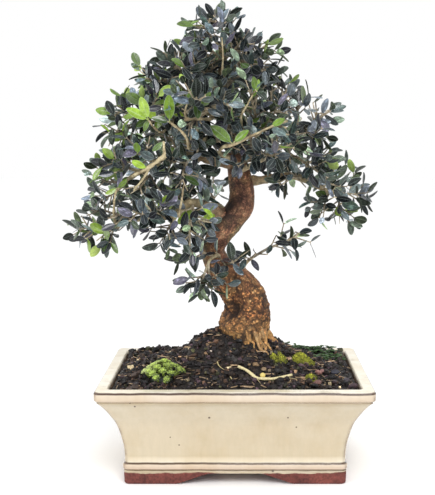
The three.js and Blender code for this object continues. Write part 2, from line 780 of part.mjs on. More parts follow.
function soilSolid(plug) {
  const [rim, middle, floor] = CAVITY_PROFILE.slice(2);
  const side = [[FLOOR_TOP + TOUCHING_GAP, floor[1]], middle, rim];
  const rings = side.map(([z, inset]) => outline(z, inset + 2 * TOUCHING_GAP, SOIL_SIDES));
  const edge = outline(SOIL_EDGE, SOIL_EDGE_INSET, SOIL_SIDES);
  rings.push(edge);
  for (const share of SOIL_SHRINK) {
    rings.push(edge.map((p) => {
      const x = mix(HEAP.x, p.x, share);
      const y = mix(HEAP.y, p.y, share);
      return V(x, y, soilHeight(x, y));
    }));
  }
  const pocketSize = SCREEN.size + 2 * TOUCHING_GAP;
  const pocketHeight = SCREEN.thickness + 2 * TOUCHING_GAP;
  const pockets = [-DRAIN_FROM_CENTRE, DRAIN_FROM_CENTRE]
    .map((x) => plate(x, 0, FLOOR_TOP - 1, pocketSize, pocketHeight + 1));
  return [plug, ...pockets].reduce((soil, cut) => soil.subtract(cut), prism(rings));
}

// A low cushion of fleshy rosettes that grows on the soil at the left, as one plant
const CUSHION = { x: -67, y: -47, radiusX: 18, radiusY: 19, height: 10, sides: 10, rosettes: 9 };
const ROSETTE_RADIUS = 6;
const ROSETTE_POINTS = 4;

// A star of fleshy leaves: points that stand up from a low middle, over a pointed root
function rosette(centre, up, radius) {
  const [u, v] = across(up);
  const count = 2 * ROSETTE_POINTS;
  const rim = Array.from({ length: count }, (_, j) => {
    const angle = (2 * Math.PI * j) / count;
    const [reach, lift] = j % 2 ? [0.62, 0.1] : [1, 0.5];
    return centre.clone()
      .addScaledVector(u, reach * radius * Math.cos(angle))
      .addScaledVector(v, reach * radius * Math.sin(angle))
      .addScaledVector(up, lift * radius);
  });
  const middle = centre.clone().addScaledVector(up, 0.35 * radius);
  const root = centre.clone().addScaledVector(up, -0.8 * radius);
  const faces = [];
  for (let j = 0; j < count; j++) {
    const k = (j + 1) % count;
    faces.push(count, j, k, count + 1, k, j);
  }
  return surface([...rim, middle, root], faces);
}

function cushionSolid(soil) {
  const { x, y, radiusX, radiusY, height, sides, rosettes } = CUSHION;
  const ground = soilHeight(x, y);
  const dome = (share, lift) => Array.from({ length: sides }, (_, j) => {
    const angle = (2 * Math.PI * j) / sides;
    return V(x + share * radiusX * Math.cos(angle), y + share * radiusY * Math.sin(angle), ground + lift);
  });
  const parts = [loft([dome(0.85, -7), dome(0.85, 0), dome(0.5, height * 0.75)])];
  for (let i = 0; i < rosettes; i++) {
    const share = Math.sqrt((i + 0.4) / rosettes) * 0.78;
    const dx = share * Math.cos(i * GOLDEN_ANGLE);
    const dy = share * Math.sin(i * GOLDEN_ANGLE);
    const up = V(dx * 0.7, dy * 0.7, 1).normalize();
    const centre = V(x + dx * radiusX, y + dy * radiusY, ground + height * (1 - 0.75 * share * share));
    parts.push(rosette(centre, up, ROSETTE_RADIUS));
  }
  return union(parts).subtract(soil);
}

// A dry stalk that lies on the soil in front of the trunk
const STALK = {
  line: [[2, -45], [21, -62], [37, -58], [53, -50]],
  radius: 1.1,
  lift: 1.7,
  steps: 8,
  sides: 5,
};

function stalkSolid(soil) {
  const curve = through(STALK.line.map(([x, y]) => [x, y, soilHeight(x, y) + STALK.lift]));
  const stations = [];
  for (let i = 0; i <= STALK.steps; i++) {
    const t = i / STALK.steps;
    stations.push({ centre: curve.at(t), direction: curve.along(t), radius: STALK.radius });
  }
  return solid(stem(stations, STALK.sides)).subtract(soil);
}

// Materials

function paint(color, roughness) {
  return new THREE.MeshStandardMaterial({ color, roughness, metalness: 0, flatShading: true });
}

const glaze = paint(0xe6dcc0, 0.25);
const bark = paint(0x8a5a34, 0.85);
const earth = paint(0x2c231f, 0.95);
const foliage = paint(0x47574c, 0.5);
const succulent = paint(0x7fae4e, 0.6);
const straw = paint(0xd2c283, 0.8);
const plastic = paint(0x1d1f1e, 0.6);

// Assembly

const part = new THREE.Group();

function add(name, manifold, material) {
  const mesh = new THREE.Mesh(geometryOf(manifold), material);
  mesh.name = name;
  part.add(mesh);
}

const sprays = growSprays();
const PLUG_TOP = 0.2;
const soil = soilSolid(solid(trunkLoft(TOUCHING_GAP, PLUG_TOP)));
// What lies on the soil is cut by the soil lifted by the gap, and by a block under its surface
const lifted = soil.translate([0, 0, TOUCHING_GAP]);
const under = prism([outline(SOIL_EDGE - 20, 30), outline(SOIL_EDGE - 1, 30)]);

add("pot", potSolid(), glaze);
add("drain_screen_left", screenSolid(-DRAIN_FROM_CENTRE), plastic);
add("drain_screen_right", screenSolid(DRAIN_FROM_CENTRE), plastic);
add("soil", soil, earth);
add("trunk_and_branches", woodSolid(sprays), bark);
add("ground_rosettes", cushionSolid(lifted.add(under)), succulent);
add("dry_stalk", stalkSolid(lifted), straw);
for (const spray of sprays) add(`spray_${spray.owner}`, spraySolid(spray), foliage);

// The origin is under the middle of the whole outline, on the table
const extent = new THREE.Box3().setFromObject(part);
const middle = extent.getCenter(V(0, 0, 0));
part.position.set(-middle.x, -middle.y, 0);

export default part;
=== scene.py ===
"""Blender scene of a small-leaved olive bonsai in a rectangular glazed pot.

Shapes are worked out in millimetres from the pot's own centre at the level of its feet, as in the CAD
part, and Shape.make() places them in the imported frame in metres. The growth rule, its lines and its seeds
are the part's own, so the stems, twigs and leaves here grow where the part's do, with the leaves that the
part leaves out.
"""

import math

import bmesh
import bpy
import numpy as np
from mathutils import Matrix, Vector

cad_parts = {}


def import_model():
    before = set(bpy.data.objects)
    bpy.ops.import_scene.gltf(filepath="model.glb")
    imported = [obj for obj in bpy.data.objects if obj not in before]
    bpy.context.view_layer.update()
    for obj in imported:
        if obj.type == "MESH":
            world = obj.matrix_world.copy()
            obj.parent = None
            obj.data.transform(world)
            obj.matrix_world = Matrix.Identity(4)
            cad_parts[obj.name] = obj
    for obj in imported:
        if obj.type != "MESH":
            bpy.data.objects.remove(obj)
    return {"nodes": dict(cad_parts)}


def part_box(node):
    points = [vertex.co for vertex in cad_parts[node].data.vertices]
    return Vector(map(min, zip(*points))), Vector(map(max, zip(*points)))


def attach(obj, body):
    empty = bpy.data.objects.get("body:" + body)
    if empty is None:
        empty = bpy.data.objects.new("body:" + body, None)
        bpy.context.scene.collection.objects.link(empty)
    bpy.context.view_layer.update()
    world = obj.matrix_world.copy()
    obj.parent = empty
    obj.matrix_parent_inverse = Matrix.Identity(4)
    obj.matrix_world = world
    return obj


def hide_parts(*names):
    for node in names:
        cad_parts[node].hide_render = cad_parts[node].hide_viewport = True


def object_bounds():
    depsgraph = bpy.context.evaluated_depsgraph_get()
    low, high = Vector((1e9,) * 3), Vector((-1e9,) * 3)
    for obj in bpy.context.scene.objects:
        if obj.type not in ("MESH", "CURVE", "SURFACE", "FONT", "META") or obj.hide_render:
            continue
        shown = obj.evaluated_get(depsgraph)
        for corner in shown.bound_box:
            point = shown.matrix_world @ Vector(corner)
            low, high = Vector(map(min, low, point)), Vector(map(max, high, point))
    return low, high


MM = 0.001
UP = np.array((0.0, 0.0, 1.0))
TAU = 2 * math.pi

# The pot: outer profile from the foot to the rim as height and inset, then the inner wall down to the floor.
# The scene's own rim takes over from RIM_FROM, with a groove under it.
POT_LENGTH, POT_DEPTH, POT_HEIGHT = 254, 178, 94
POT_PROFILE = [
    (0, 24.6), (1.2, 23.6), (11, 23.3), (11.5, 24), (12.2, 23.1), (12.9, 23.1), (13.7, 24.2), (14.6, 22.7),
    (19, 22.5), (20.2, 24.3), (25, 24.2), (38, 23), (57, 18.2), (67.8, 12.8), (77, 6.9), (83, 1.9),
    (84.4, 1.4), (85.6, 0), (92.6, 0), (94, 1.4),
]
RIM_PROFILE = [(83.5, 2.3), (84.3, 2.2), (84.7, 1.1), (85.8, 0.1), (87.4, 0), (92.6, 0), (POT_HEIGHT, 1.4)]
CAVITY_PROFILE = [(94, 10.4), (92.8, 11.5), (84, 13), (57, 28), (18, 34)]
BODY_FROM, RIM_FROM = 25, 83
RIM_CORNER = 5
FLOOR_UNDERSIDE, FLOOR_TOP = 10.5, 18
FOOT_RECESS = 35.4
LONG_GAP, SHORT_GAP = (25, 58), (14, 33)
DRAIN_RADIUS, DRAIN_FROM_CENTRE = 9, 50
GAP = 0.3

# The soil: the height of its edge, the heap round the trunk, and a ridge at the back and a dip at the left,
# which only the scene has
SOIL_EDGE = 89
HEAP_X, HEAP_Y, HEAP_HEIGHT, HEAP_WIDE, HEAP_DEEP = -3, 4, 45, 48, 37
RIDGE_Y, RIDGE_HEIGHT, RIDGE_DEEP = 64, 4.5, 11
DIP_X, DIP_Y, DIP_DEPTH, DIP_WIDE, DIP_DEEP = -53, 14, 5, 11, 40

# The trunk's centreline from the root end to the top of the leader: x, y, z and radius
TRUNK = [
    (8, 2, 80, 22), (8, 2, 98, 25), (9, 2, 114, 24.5), (10, 2, 128, 22.5), (12, 0, 144, 20.5),
    (11, 0, 159, 19.5), (3, 0, 174, 19), (-11, 0, 189, 16), (-19, -2, 201, 12.8), (-21, -4, 213, 11),
    (-16, -4, 226, 11.8), (-6, -2, 240, 12.3), (4, 0, 253, 12.3), (7, 2, 268, 12.1), (4, 4, 283, 10.8),
    (0, 4, 298, 8.8), (-3, 3, 313, 7.4), (-7, 0, 329, 6.3), (-9, -2, 346, 5.2), (-11, -2, 365, 4.3),
    (-13, 0, 384, 3.4), (-13, 1, 402, 2.5), (-11, 1, 417, 1.7),
]
# Each branch: its line from inside the trunk to its end, and its radius at both ends
BRANCHES = {
    "low_left": ([(-13, -6, 245), (-28, -22, 256), (-42, -34, 260), (-55, -40, 250), (-73, -42, 246),
                  (-93, -44, 245), (-114, -44, 238)], 5, 1.6),
    "mid_left": ([(0, 2, 296), (-20, -8, 298), (-41, -16, 303), (-63, -26, 303), (-79, -34, 293),
                  (-94, -38, 285), (-109, -36, 272)], 5, 1.6),
    "high_left": ([(-5, 2, 323), (-24, -4, 327), (-45, -10, 323), (-60, -16, 333), (-76, -16, 334),
                   (-92, -12, 340)], 4.4, 1.5),
    "top_left": ([(-10, -2, 359), (-24, 0, 366), (-40, 4, 373), (-55, 4, 375), (-70, 2, 374)], 3.2, 1.4),
    "top_right": ([(-13, 0, 372), (-3, 0, 379), (7, -2, 387), (16, -2, 392)], 2.7, 1.3),
    "high_right": ([(-7, -2, 318), (4, -14, 321), (18, -24, 325), (30, -28, 330), (43, -28, 333),
                    (56, -24, 333), (68, -20, 332)], 4.4, 1.5),
    "mid_right": ([(0, 6, 300), (16, 4, 300), (31, 0, 302), (45, -4, 303), (58, -6, 301),
                   (70, -6, 297)], 4.2, 1.5),
    "low_right": ([(5, 6, 279), (22, 4, 279), (40, 2, 282), (57, 0, 283), (74, -2, 276), (91, -4, 268),
                   (104, -4, 266)], 4.8, 1.6),
    "back_left": ([(-3, 6, 312), (-22, 30, 317), (-47, 56, 321), (-73, 76, 317)], 4, 1.5),
    "back_right": ([(-5, 4, 329), (10, 28, 333), (30, 52, 335), (53, 68, 329)], 3.8, 1.5),
    "back_high": ([(-10, 2, 352), (-14, 26, 362), (-18, 44, 373)], 3, 1.4),
    "front": ([(-8, -4, 338), (-12, -26, 342), (-21, -46, 345), (-28, -60, 346)], 3.2, 1.4),
    "back_low": ([(-11, 4, 242), (-14, 30, 250), (-26, 54, 252), (-48, 74, 248)], 4, 1.5),
    "front_right": ([(2, -4, 287), (14, -26, 294), (26, -46, 300)], 3.2, 1.4),
    "twig_left": ([(-14, -8, 207), (-19, -18, 208), (-24, -27, 205), (-27, -32, 198)], 1.8, 1.3),
    "twig_right": ([(5, 0, 192), (12, -2, 201), (22, -4, 208)], 1.8, 1.2),
}
# Each spray: how far along its branch it leaves it, from 0 to 1, and where its tip is
SPRAYS = {
    "leader": [(1, (-18, 0, 429)), (0.955, (-30, -8, 424)), (0.92, (6, -18, 409)), (0.87, (-37, 16, 410))],
    "low_left": [(1, (-140, -44, 239)), (0.86, (-119, -54, 234)), (0.8, (-128, -28, 255)),
                 (0.62, (-90, -64, 254)), (0.45, (-66, -52, 231)), (0.3, (-42, -48, 211))],
    "mid_left": [(1, (-122, -34, 264)), (0.9, (-125, -20, 280)), (0.75, (-111, -46, 299)),
                 (0.6, (-87, -60, 311)), (0.52, (-88, -58, 274)), (0.35, (-48, -62, 282))],
    "high_left": [(1, (-105, -10, 345)), (0.85, (-115, -30, 324)), (0.7, (-82, -38, 352)),
                  (0.5, (-61, -48, 352)), (0.2, (-26, -40, 312))],
    "top_left": [(1, (-80, 0, 372)), (0.75, (-58, 8, 393)), (0.5, (-46, -24, 384))],
    "top_right": [(1, (21, -4, 402)), (0.7, (32, -24, 380))],
    "high_right": [(1, (78, -18, 343)), (0.85, (57, -32, 349)), (0.7, (44, -14, 366)),
                   (0.6, (56, -58, 318)), (0.35, (14, -56, 362))],
    "mid_right": [(1, (84, -2, 302)), (0.6, (50, -42, 306)), (0.8, (76, -38, 290))],
    "low_right": [(1, (114, -2, 269)), (0.92, (99, -14, 252)), (0.8, (84, -26, 258)),
                  (0.55, (50, -38, 287)), (0.85, (96, 18, 284))],
    "back_left": [(1, (-107, 96, 315)), (0.8, (-82, 92, 348)), (0.7, (-68, 90, 286))],
    "back_right": [(1, (68, 90, 324)), (0.8, (46, 84, 352)), (0.6, (32, 74, 305))],
    "back_high": [(1, (-25, 72, 396))],
    "front": [(1, (-36, -86, 355))],
    "back_low": [(1, (-76, 98, 253)), (0.7, (-34, 80, 219))],
    "front_right": [(1, (40, -70, 313)), (0.6, (13, -60, 326))],
    "twig_left": [(1, (-32, -40, 185))],
    "twig_right": [(1, (60, -8, 227))],
}
# Sprays that only the scene has, which fill the crown between the part's: the same values, and a count of
# twigs where it isn't TWIG_COUNT
FILL_SPRAYS = {
    "leader": [(0.7, (-20, -42, 320)), (0.74, (14, -44, 330)), (0.78, (-32, -38, 347)), (0.8, (16, -36, 354)),
               (0.84, (-10, -38, 372)), (0.86, (12, -28, 384)), (0.88, (-36, -24, 386)), (0.9, (14, 4, 394)),
               (0.93, (-28, -20, 408)), (0.93, (2, 16, 404)), (0.97, (-12, -12, 422)), (0.76, (10, 44, 352)),
               (0.82, (-30, 38, 374)), (0.87, (6, 32, 396)), (0.33, (2, -32, 206), 1)],
    "high_left": [(0.2, (-32, -28, 342)), (0.42, (-46, -20, 368)), (0.6, (-70, 8, 360)),
                  (0.8, (-90, -34, 342))],
    "top_left": [(0.3, (-28, -14, 396)), (0.6, (-52, -12, 390)), (0.85, (-70, -10, 374)),
                 (0.8, (-70, 22, 366))],
    "top_right": [(0.4, (12, -22, 398)), (0.9, (30, 4, 382)), (0.3, (8, 16, 394))],
    "high_right": [(0.25, (22, -42, 310), 3), (0.45, (38, -52, 348)), (0.5, (34, -8, 366)),
                   (0.9, (70, -38, 318), 3)],
    "mid_right": [(0.45, (44, 24, 316), 4), (0.5, (40, -34, 292), 3)],
    "low_right": [(0.5, (44, 22, 290), 3), (0.75, (84, -28, 282), 3)],
    "mid_left": [(0.25, (-32, -42, 312)), (0.4, (-60, -6, 324)), (0.45, (-58, -48, 294)),
                 (0.7, (-92, -12, 302)), (0.3, (-30, -34, 278))],
    "low_left": [(0.3, (-34, -52, 242)), (0.4, (-52, -18, 270)), (0.55, (-74, -66, 254)),
                 (0.7, (-96, -24, 266)), (0.8, (-102, -64, 250))],
    "front": [(0.4, (-2, -54, 328)), (0.7, (-44, -56, 334)), (0.8, (-12, -76, 354))],
    "front_right": [(0.7, (8, -62, 308), 4)],
    "twig_left": [(0.4, (-38, -30, 214), 3), (0.8, (-20, -44, 186), 2)],
    "twig_right": [(0.5, (22, -14, 212), 1), (0.8, (34, -10, 216), 1)],
    "back_left": [(0.5, (-46, 62, 344)), (0.4, (-48, 40, 302))],
    "back_right": [(0.4, (24, 56, 312)), (0.5, (30, 32, 356))],
    "back_low": [(0.5, (-30, 60, 274))],
    "back_high": [(0.6, (-32, 50, 388)), (0.6, (0, 42, 382))],
}
# Old bare branches at the crown's front: the line from inside the crown to the end, and the radius at both
BARE_BRANCHES = (
    ([(-94, -38, 285), (-93, -54, 285), (-88, -61, 288), (-78, -64, 293), (-68, -66, 300), (-62, -64, 304)],
     1.4, 1.9),
    ([(-68, -66, 300), (-63, -65, 305), (-63, -66, 310), (-63, -66, 317)], 1.8, 1.0),
    ([(-76, -64, 294), (-81, -63, 285), (-91, -60, 273)], 1.3, 0.9),
    ([(-45, -10, 323), (-42, -50, 311), (-42, -60, 317), (-45, -64, 323), (-50, -64, 328), (-58, -62, 334)],
     1.6, 1.0),
    ([(-19, -42, 344), (-22, -56, 337), (-34, -64, 337), (-45, -64, 336)], 1.7, 1.3),
    ([(-36, -64, 337), (-43, -64, 338), (-44, -65, 343), (-42, -66, 350)], 1.0, 0.7),
    ([(-60, -16, 333), (-66, -48, 325), (-72, -58, 329), (-77, -62, 336)], 1.2, 0.8),
    ([(-2, -10, 300), (-14, -40, 306), (-10, -58, 312), (-1, -66, 314), (9, -68, 319), (20, -68, 324),
      (33, -66, 330), (47, -62, 335)], 1.9, 1.0),
    ([(-110, -44, 241), (-110, -56, 250), (-109, -60, 260), (-108, -62, 267), (-106, -60, 275)], 1.2, 0.8),
    ([(-48, -38, 256), (-51, -54, 249), (-48, -60, 264), (-46, -58, 278)], 1.3, 0.8),
    ([(8, -20, 322), (6, -50, 333), (6, -60, 340), (11, -62, 349), (16, -60, 358)], 1.2, 0.7),
    ([(-13, 0, 372), (-12, -24, 379), (-11, -33, 390), (-11, -34, 398), (-12, -30, 411)], 1.1, 0.6),
)
# Bright young leaves on them, as base and tip
YOUNG_LEAVES = (
    ((-2, -67, 315), (-21, -72, 331)), ((-1, -68, 316), (12, -73, 327)),
    ((32, -66, 330), (44, -70, 337)), ((-58, -63, 334), (-58, -68, 358)),
    ((-58, -63, 334), (-73, -68, 338)), ((-77, -62, 336), (-96, -66, 346)),
    ((-77, -62, 336), (-83, -66, 356)), ((-78, -65, 293), (-91, -70, 300)),
    ((-42, -66, 350), (-37, -69, 364)), ((-63, -66, 317), (-73, -70, 309)),
    ((-106, -60, 275), (-116, -65, 270)), ((-106, -60, 275), (-97, -65, 283)),
)
# The share of their leaves that the sprays around the crown's gaps go without
THINNED = {
    "back_right_1": 0.6, "back_right_2": 0.55, "back_right_3": 0.3, "high_right_1": 0.35, "high_right_2": 0.2,
    "high_right_3": 0.2, "low_right_4": 0.4, "low_right_5": 0.4, "low_right_2": 0.15, "mid_right_1": 0.2,
    "twig_right_1": 0.4, "high_left_1": 0.25, "mid_left_6": 0.3, "low_left_1": 0.15, "mid_left_1": 0.15,
}
# The share of young green leaves on the sprays that have more or fewer of them than the rest
YOUNG_SPRAYS = {
    "high_left_1": 0.4, "high_left_2": 0.3, "high_left_3": 0.3, "high_left_4": 0.28, "mid_left_2": 0.25,
    "mid_left_3": 0.15, "low_left_1": 0.35, "low_left_2": 0.28, "front_1": 0.2, "mid_right_1": 0.2,
    "leader_2": 0.16, "top_left_1": 0.16, "twig_right_1": 0, "twig_left_1": 0, "leader_3": 0,
}
YOUNG_SHARES = (0.02, 0.04, 0.08)
LEAF_LENGTH, LEAF_SHARE, LEAF_SPACING = 17.5, 0.45, 9
STEM_RADII, TWIG_RADII = (1.3, 0.8), (0.5, 0.7)
TWIG_LENGTH, TWIG_COUNT = 21, 7
TRIES, STEM_TRIES = 6, 40
GOLDEN_ANGLE = 2.4
# How leaves open from their stem, turn round it and roll about themselves, in radians, and their size
SIDE_LEAVES = {"open": 1, "turn": 0.7, "roll": 0.9, "size": 1}
TIP_LEAVES = {"open": 0.72, "turn": 0.3, "roll": 0.5, "size": 0.86}
# Seeds of the growth, where each spray takes the next, and of the random numbers that only the scene draws
FIRST_SEED, SEED_STEP = 11, 7919
SEEDS = {"noise": 3, "roots": 5, "soil": 7, "rosettes": 8, "moss": 10, "seedlings": 12, "young": 14,
         "sprays": 100}
# How much closer than the part's sprays the scene's own may come to others, and how far their tips vary
FILL_CLOSENESS, FILL_JITTER = 0.68, 6
# The rule for the growth's random numbers
RANDOM_FACTOR, RANDOM_STEP, RANDOM_SIZE = 1664525, 1013904223, 2 ** 32


# Vectors, curves and random numbers

def random_source(seed):
    """Random numbers from 0 to 1, by the part's rule."""
    state = seed % RANDOM_SIZE

    def draw():
        nonlocal state
        state = (state * RANDOM_FACTOR + RANDOM_STEP) % RANDOM_SIZE
        return state / RANDOM_SIZE

    return draw


def seeded(name, index=0):
    return np.random.default_rng(SEEDS[name] + index)


def unit(v):
    return v / math.sqrt(v[0] * v[0] + v[1] * v[1] + v[2] * v[2])


def cross(a, b):
    return np.array((a[1] * b[2] - a[2] * b[1], a[2] * b[0] - a[0] * b[2], a[0] * b[1] - a[1] * b[0]))


def across(direction):
    """Two directions square to a line's direction."""
    reference = np.array((1.0, 0.0, 0.0)) if abs(direction[2]) > 0.9 else UP
    u = unit(cross(direction, reference))
    return u, cross(direction, u)


def around(direction, angle):
    u, v = across(direction)
    return u * math.cos(angle) + v * math.sin(angle)


def turned(v, axis, angle):
    """v turned about an axis, by the right-hand rule."""
    part = axis * float(axis @ v) * (1 - math.cos(angle))
    return v * math.cos(angle) + cross(axis, v) * math.sin(angle) + part


def mix(a, b, share):
    return a + (b - a) * share


def steps(count, start=0.0, end=1.0):
    return [mix(start, end, i / count) for i in range(count + 1)]


def through(points):
    """A smooth curve through points, as a function of the share along it."""
    knots = np.array([p[:3] for p in points], float)
    knots = np.vstack([2 * knots[0] - knots[1], knots, 2 * knots[-1] - knots[-2]])
    last = len(points) - 2

    def at(t):
        place = (len(points) - 1) * t
        i = min(int(place), last)
        w = place - i
        p0, p1, p2, p3 = knots[i:i + 4]
        a, b = 0.5 * (p2 - p0), 0.5 * (p3 - p1)
        return p1 + a * w + (3 * (p2 - p1) - 2 * a - b) * w * w + (2 * (p1 - p2) + a + b) * w * w * w

    return at


def direction_of(at, t):
    step = 0.001
    return unit(at(min(1, t + step)) - at(max(0, t - step)))


def curve_length(at):
    points = [at(t) for t in steps(24)]
    return sum(float(np.linalg.norm(b - a)) for a, b in zip(points, points[1:]))


class Noise:
    """Smooth random values over space, from -1 to 1, and the cells of a jittered grid."""

    SIZE = 32

    def __init__(self, source):
        self.table = source.random((self.SIZE,) * 3) * 2 - 1
        self.jitter = source.random((self.SIZE, self.SIZE, self.SIZE, 3))

    def at(self, points):
        whole = np.floor(points).astype(int)
        share = points - whole
        share = share * share * (3 - 2 * share)
        value = np.zeros(len(points))
        for corner in np.ndindex(2, 2, 2):
            x, y, z = ((whole + corner) % self.SIZE).T
            weight = np.prod(np.where(np.array(corner) == 1, share, 1 - share), axis=1)
            value += weight * self.table[x, y, z]
        return value

    def octaves(self, points, count):
        return sum(self.at(points * 2 ** i + 7.3 * i) / 2 ** i for i in range(count))

    def cells(self, points):
        """The distance to the nearest cell's middle, and how much further the second one is."""
        whole = np.floor(points).astype(int)
        best = np.full((2, len(points)), 9.0)
        for step in np.ndindex(3, 3, 3):
            cell = whole + np.array(step) - 1
            x, y, z = (cell % self.SIZE).T
            away = np.linalg.norm(cell + self.jitter[x, y, z] - points, axis=1)
            best[1] = np.minimum(best[1], np.maximum(best[0], away))
            best[0] = np.minimum(best[0], away)
        return best[0], best[1] - best[0]


# Growth of the tree, as in the part

TRUNK_CURVE = through(TRUNK)
BRANCH_CURVES = {name: through(branch[0]) for name, branch in BRANCHES.items()}


def trunk_radius(t):
    place = t * (len(TRUNK) - 1)
    i = min(int(place), len(TRUNK) - 2)
    return mix(TRUNK[i][3], TRUNK[i + 1][3], place - i)


def branch_radius(name):
    thick, thin = BRANCHES[name][1:]
    return lambda t: mix(thick, thin, t)


class Space:
    """The balls that everything grown so far keeps to itself, so that sprays stay clear of each other."""

    STEP, MARGIN, OWN_SHARE, MOST_BALLS = 2, 0.9, 0.5, 60000

    def __init__(self):
        self.centres = np.empty((self.MOST_BALLS, 3))
        self.radii = np.empty(self.MOST_BALLS)
        self.owners = np.empty(self.MOST_BALLS, int)
        self.count = 0

    def keep(self, balls, owner):
        for centre, radius, _ in balls:
            self.centres[self.count], self.radii[self.count], self.owners[self.count] = centre, radius, owner
            self.count += 1

    def clear(self, balls, owner, ignored=None, share=1.0):
        n = self.count
        own = self.owners[:n] == owner
        factor = np.where(own, self.OWN_SHARE, share)
        for centre, radius, is_root in balls:
            apart = self.centres[:n] - centre
            distance = apart[:, 0] ** 2 + apart[:, 1] ** 2 + apart[:, 2] ** 2
            blocked = distance < ((radius + self.radii[:n] + GAP) * factor) ** 2
            if is_root:
                blocked &= ~own
            if ignored is not None:
                blocked &= self.owners[:n] != ignored
            if blocked.any():
                return False
        return True

    def take(self, balls, spray):
        """Keeps the balls for a spray if they are clear, and says whether they are."""
        free = self.clear(balls, spray["owner"], share=spray.get("share", 1))
        if free:
            self.keep(balls, spray["owner"])
        return free

    def line(self, at, length, radius_at, start=0.0, end=1.0):
        count = math.ceil(((end - start) * length) / self.STEP)
        return [(at(t), radius_at(t) + self.MARGIN, False) for t in steps(count, start, end)]


WOOD, STUB = 0, -1
STUB_RADIUS, STUB_STEP, LONGEST_STUB, BASE_FREE, BARK_SWELL = 1.3, 0.5, 0.6, 8, 1.08
# How much a stem leans along its branch and lifts its tip, how far both ends' directions rule its curve, and
# how much further its tip may move with each try
STEM_LEAN, STEM_LIFT, STEM_LEAVES, STEM_ARRIVES, STEM_JITTER = 0.3, 0.2, 0.35, 0.3, 3
# Where a stem's twigs and leaf pairs begin and its twigs end, how twigs point, and where their leaves begin
TWIGS_FROM, TWIGS_TO, PAIRS_FROM, PAST_STUB = 0.3, 0.9, 0.34, 0.1
TWIG_FORWARD, TWIG_LIFT, TWIG_PAIRS_FROM = 0.75, 0.12, 0.45


def grow_wood(space):
    length = curve_length(TRUNK_CURVE)
    space.keep(space.line(TRUNK_CURVE, length, lambda t: trunk_radius(t) * BARK_SWELL), WOOD)
    for name, at in BRANCH_CURVES.items():
        space.keep(space.line(at, curve_length(at), branch_radius(name)), WOOD)


def stub_share(space, at, arc):
    """The share of a stem that is still inside the wood's bark, where the part cuts it off as a stub."""
    for t in steps(math.ceil(arc / STUB_STEP))[1:]:
        if space.clear([(at(t), STEM_RADII[0] + space.MARGIN, False)], STUB):
            return t
    return 1


def stem_line(base, leave, end):
    chord = end - base
    length = math.sqrt(float(chord @ chord))
    arrive = unit(chord / length + STEM_LIFT * UP)
    a, b = base + leave * (STEM_LEAVES * length), end - arrive * (STEM_ARRIVES * length)

    def at(t):
        k = 1 - t
        return k * k * k * base + 3 * k * k * t * a + 3 * k * t * t * b + t * t * t * end

    return at


def carrier_of(name):
    return TRUNK_CURVE if name == "leader" else BRANCH_CURVES[name]


def jittered(tip, reach, draw):
    return np.array(tip, float) + np.array([draw() - 0.5 for _ in range(3)]) * reach


def new_spray(owner, at, length, stub=0, at_end=False):
    return {"owner": owner, "at_end": at_end, "stub": stub, "at": at, "length": length,
            "along": lambda t: direction_of(at, t), "twigs": [], "leaves": []}


def grow_stem(space, name, owner, place, tip, draw):
    carrier = carrier_of(name)
    base, wood = carrier(place), direction_of(carrier, place)
    at_end = place == 1
    for attempt in range(STEM_TRIES):
        end = jittered(tip, STEM_JITTER * attempt, draw)
        leave = wood if at_end else unit(unit(end - base) + STEM_LEAN * wood)
        at = stem_line(base, leave, end)
        arc = curve_length(at)
        stub = 0 if at_end else stub_share(space, at, arc)
        free = BASE_FREE / arc if at_end else stub
        stem_balls = space.line(at, arc, lambda t: mix(*STEM_RADII, t), free)
        stub_balls = [] if at_end else space.line(at, arc, lambda t: STUB_RADIUS, 0, stub)
        fits = stub < LONGEST_STUB and space.clear(stem_balls, owner)
        if fits and space.clear(stub_balls, owner, WOOD):
            space.keep(stem_balls, owner)
            space.keep(stub_balls, WOOD)
            return new_spray(owner, at, arc, stub, at_end)
    raise ValueError(f"no room for a stem on {name}")


def grow_fill_stem(space, name, owner, place, tip, draw):
    """The stem of a spray that only the scene has. It starts inside the wood and may come close to others."""
    carrier = carrier_of(name)
    base, wood = carrier(place), direction_of(carrier, place)
    end = jittered(tip, FILL_JITTER, draw)
    at = stem_line(base, unit(unit(end - base) + STEM_LEAN * wood), end)
    arc = curve_length(at)
    radius = trunk_radius(place) if name == "leader" else 3
    free = min(LONGEST_STUB, (radius + BASE_FREE) / arc)
    space.keep(space.line(at, arc, lambda t: STUB_RADIUS, free), owner)
    return new_spray(owner, at, arc)


def grow_twig(base, direction, length):
    return {"at": lambda s: base + direction * (s * length), "along": lambda s: direction, "length": length}


def grow_twigs(space, spray, draw):
    count = spray.get("twig_count", TWIG_COUNT)
    for i in range(count):
        t = mix(max(TWIGS_FROM, spray["stub"] + PAST_STUB), TWIGS_TO, i / max(1, count - 1))
        base, tangent = spray["at"](t), spray["along"](t)
        for attempt in range(TRIES):
            angle = i * GOLDEN_ANGLE + (draw() - 0.5) * 1.2 + attempt
            length = TWIG_LENGTH * (1.1 - 0.45 * t) * (0.8 + 0.35 * draw())
            direction = unit(tangent * TWIG_FORWARD + around(tangent, angle) + TWIG_LIFT * UP)
            twig = grow_twig(base, direction, length)
            balls = space.line(twig["at"], length, lambda s: mix(*TWIG_RADII, s), 0.2)
            if space.take(balls, spray):
                spray["twigs"].append(twig)
                break


# Where a leaf blade is kept clear: share of its length, and half its width there as a share of its width
LEAF_STATIONS = ((0.18, 0.32), (0.42, 0.52), (0.66, 0.48), (0.9, 0.27))


def leaf_balls(base, axis, length, width):
    return [(base + axis * (along * length), max(half * width, 0.13 * length) + 0.2, along < 0.2)
            for along, half in LEAF_STATIONS]


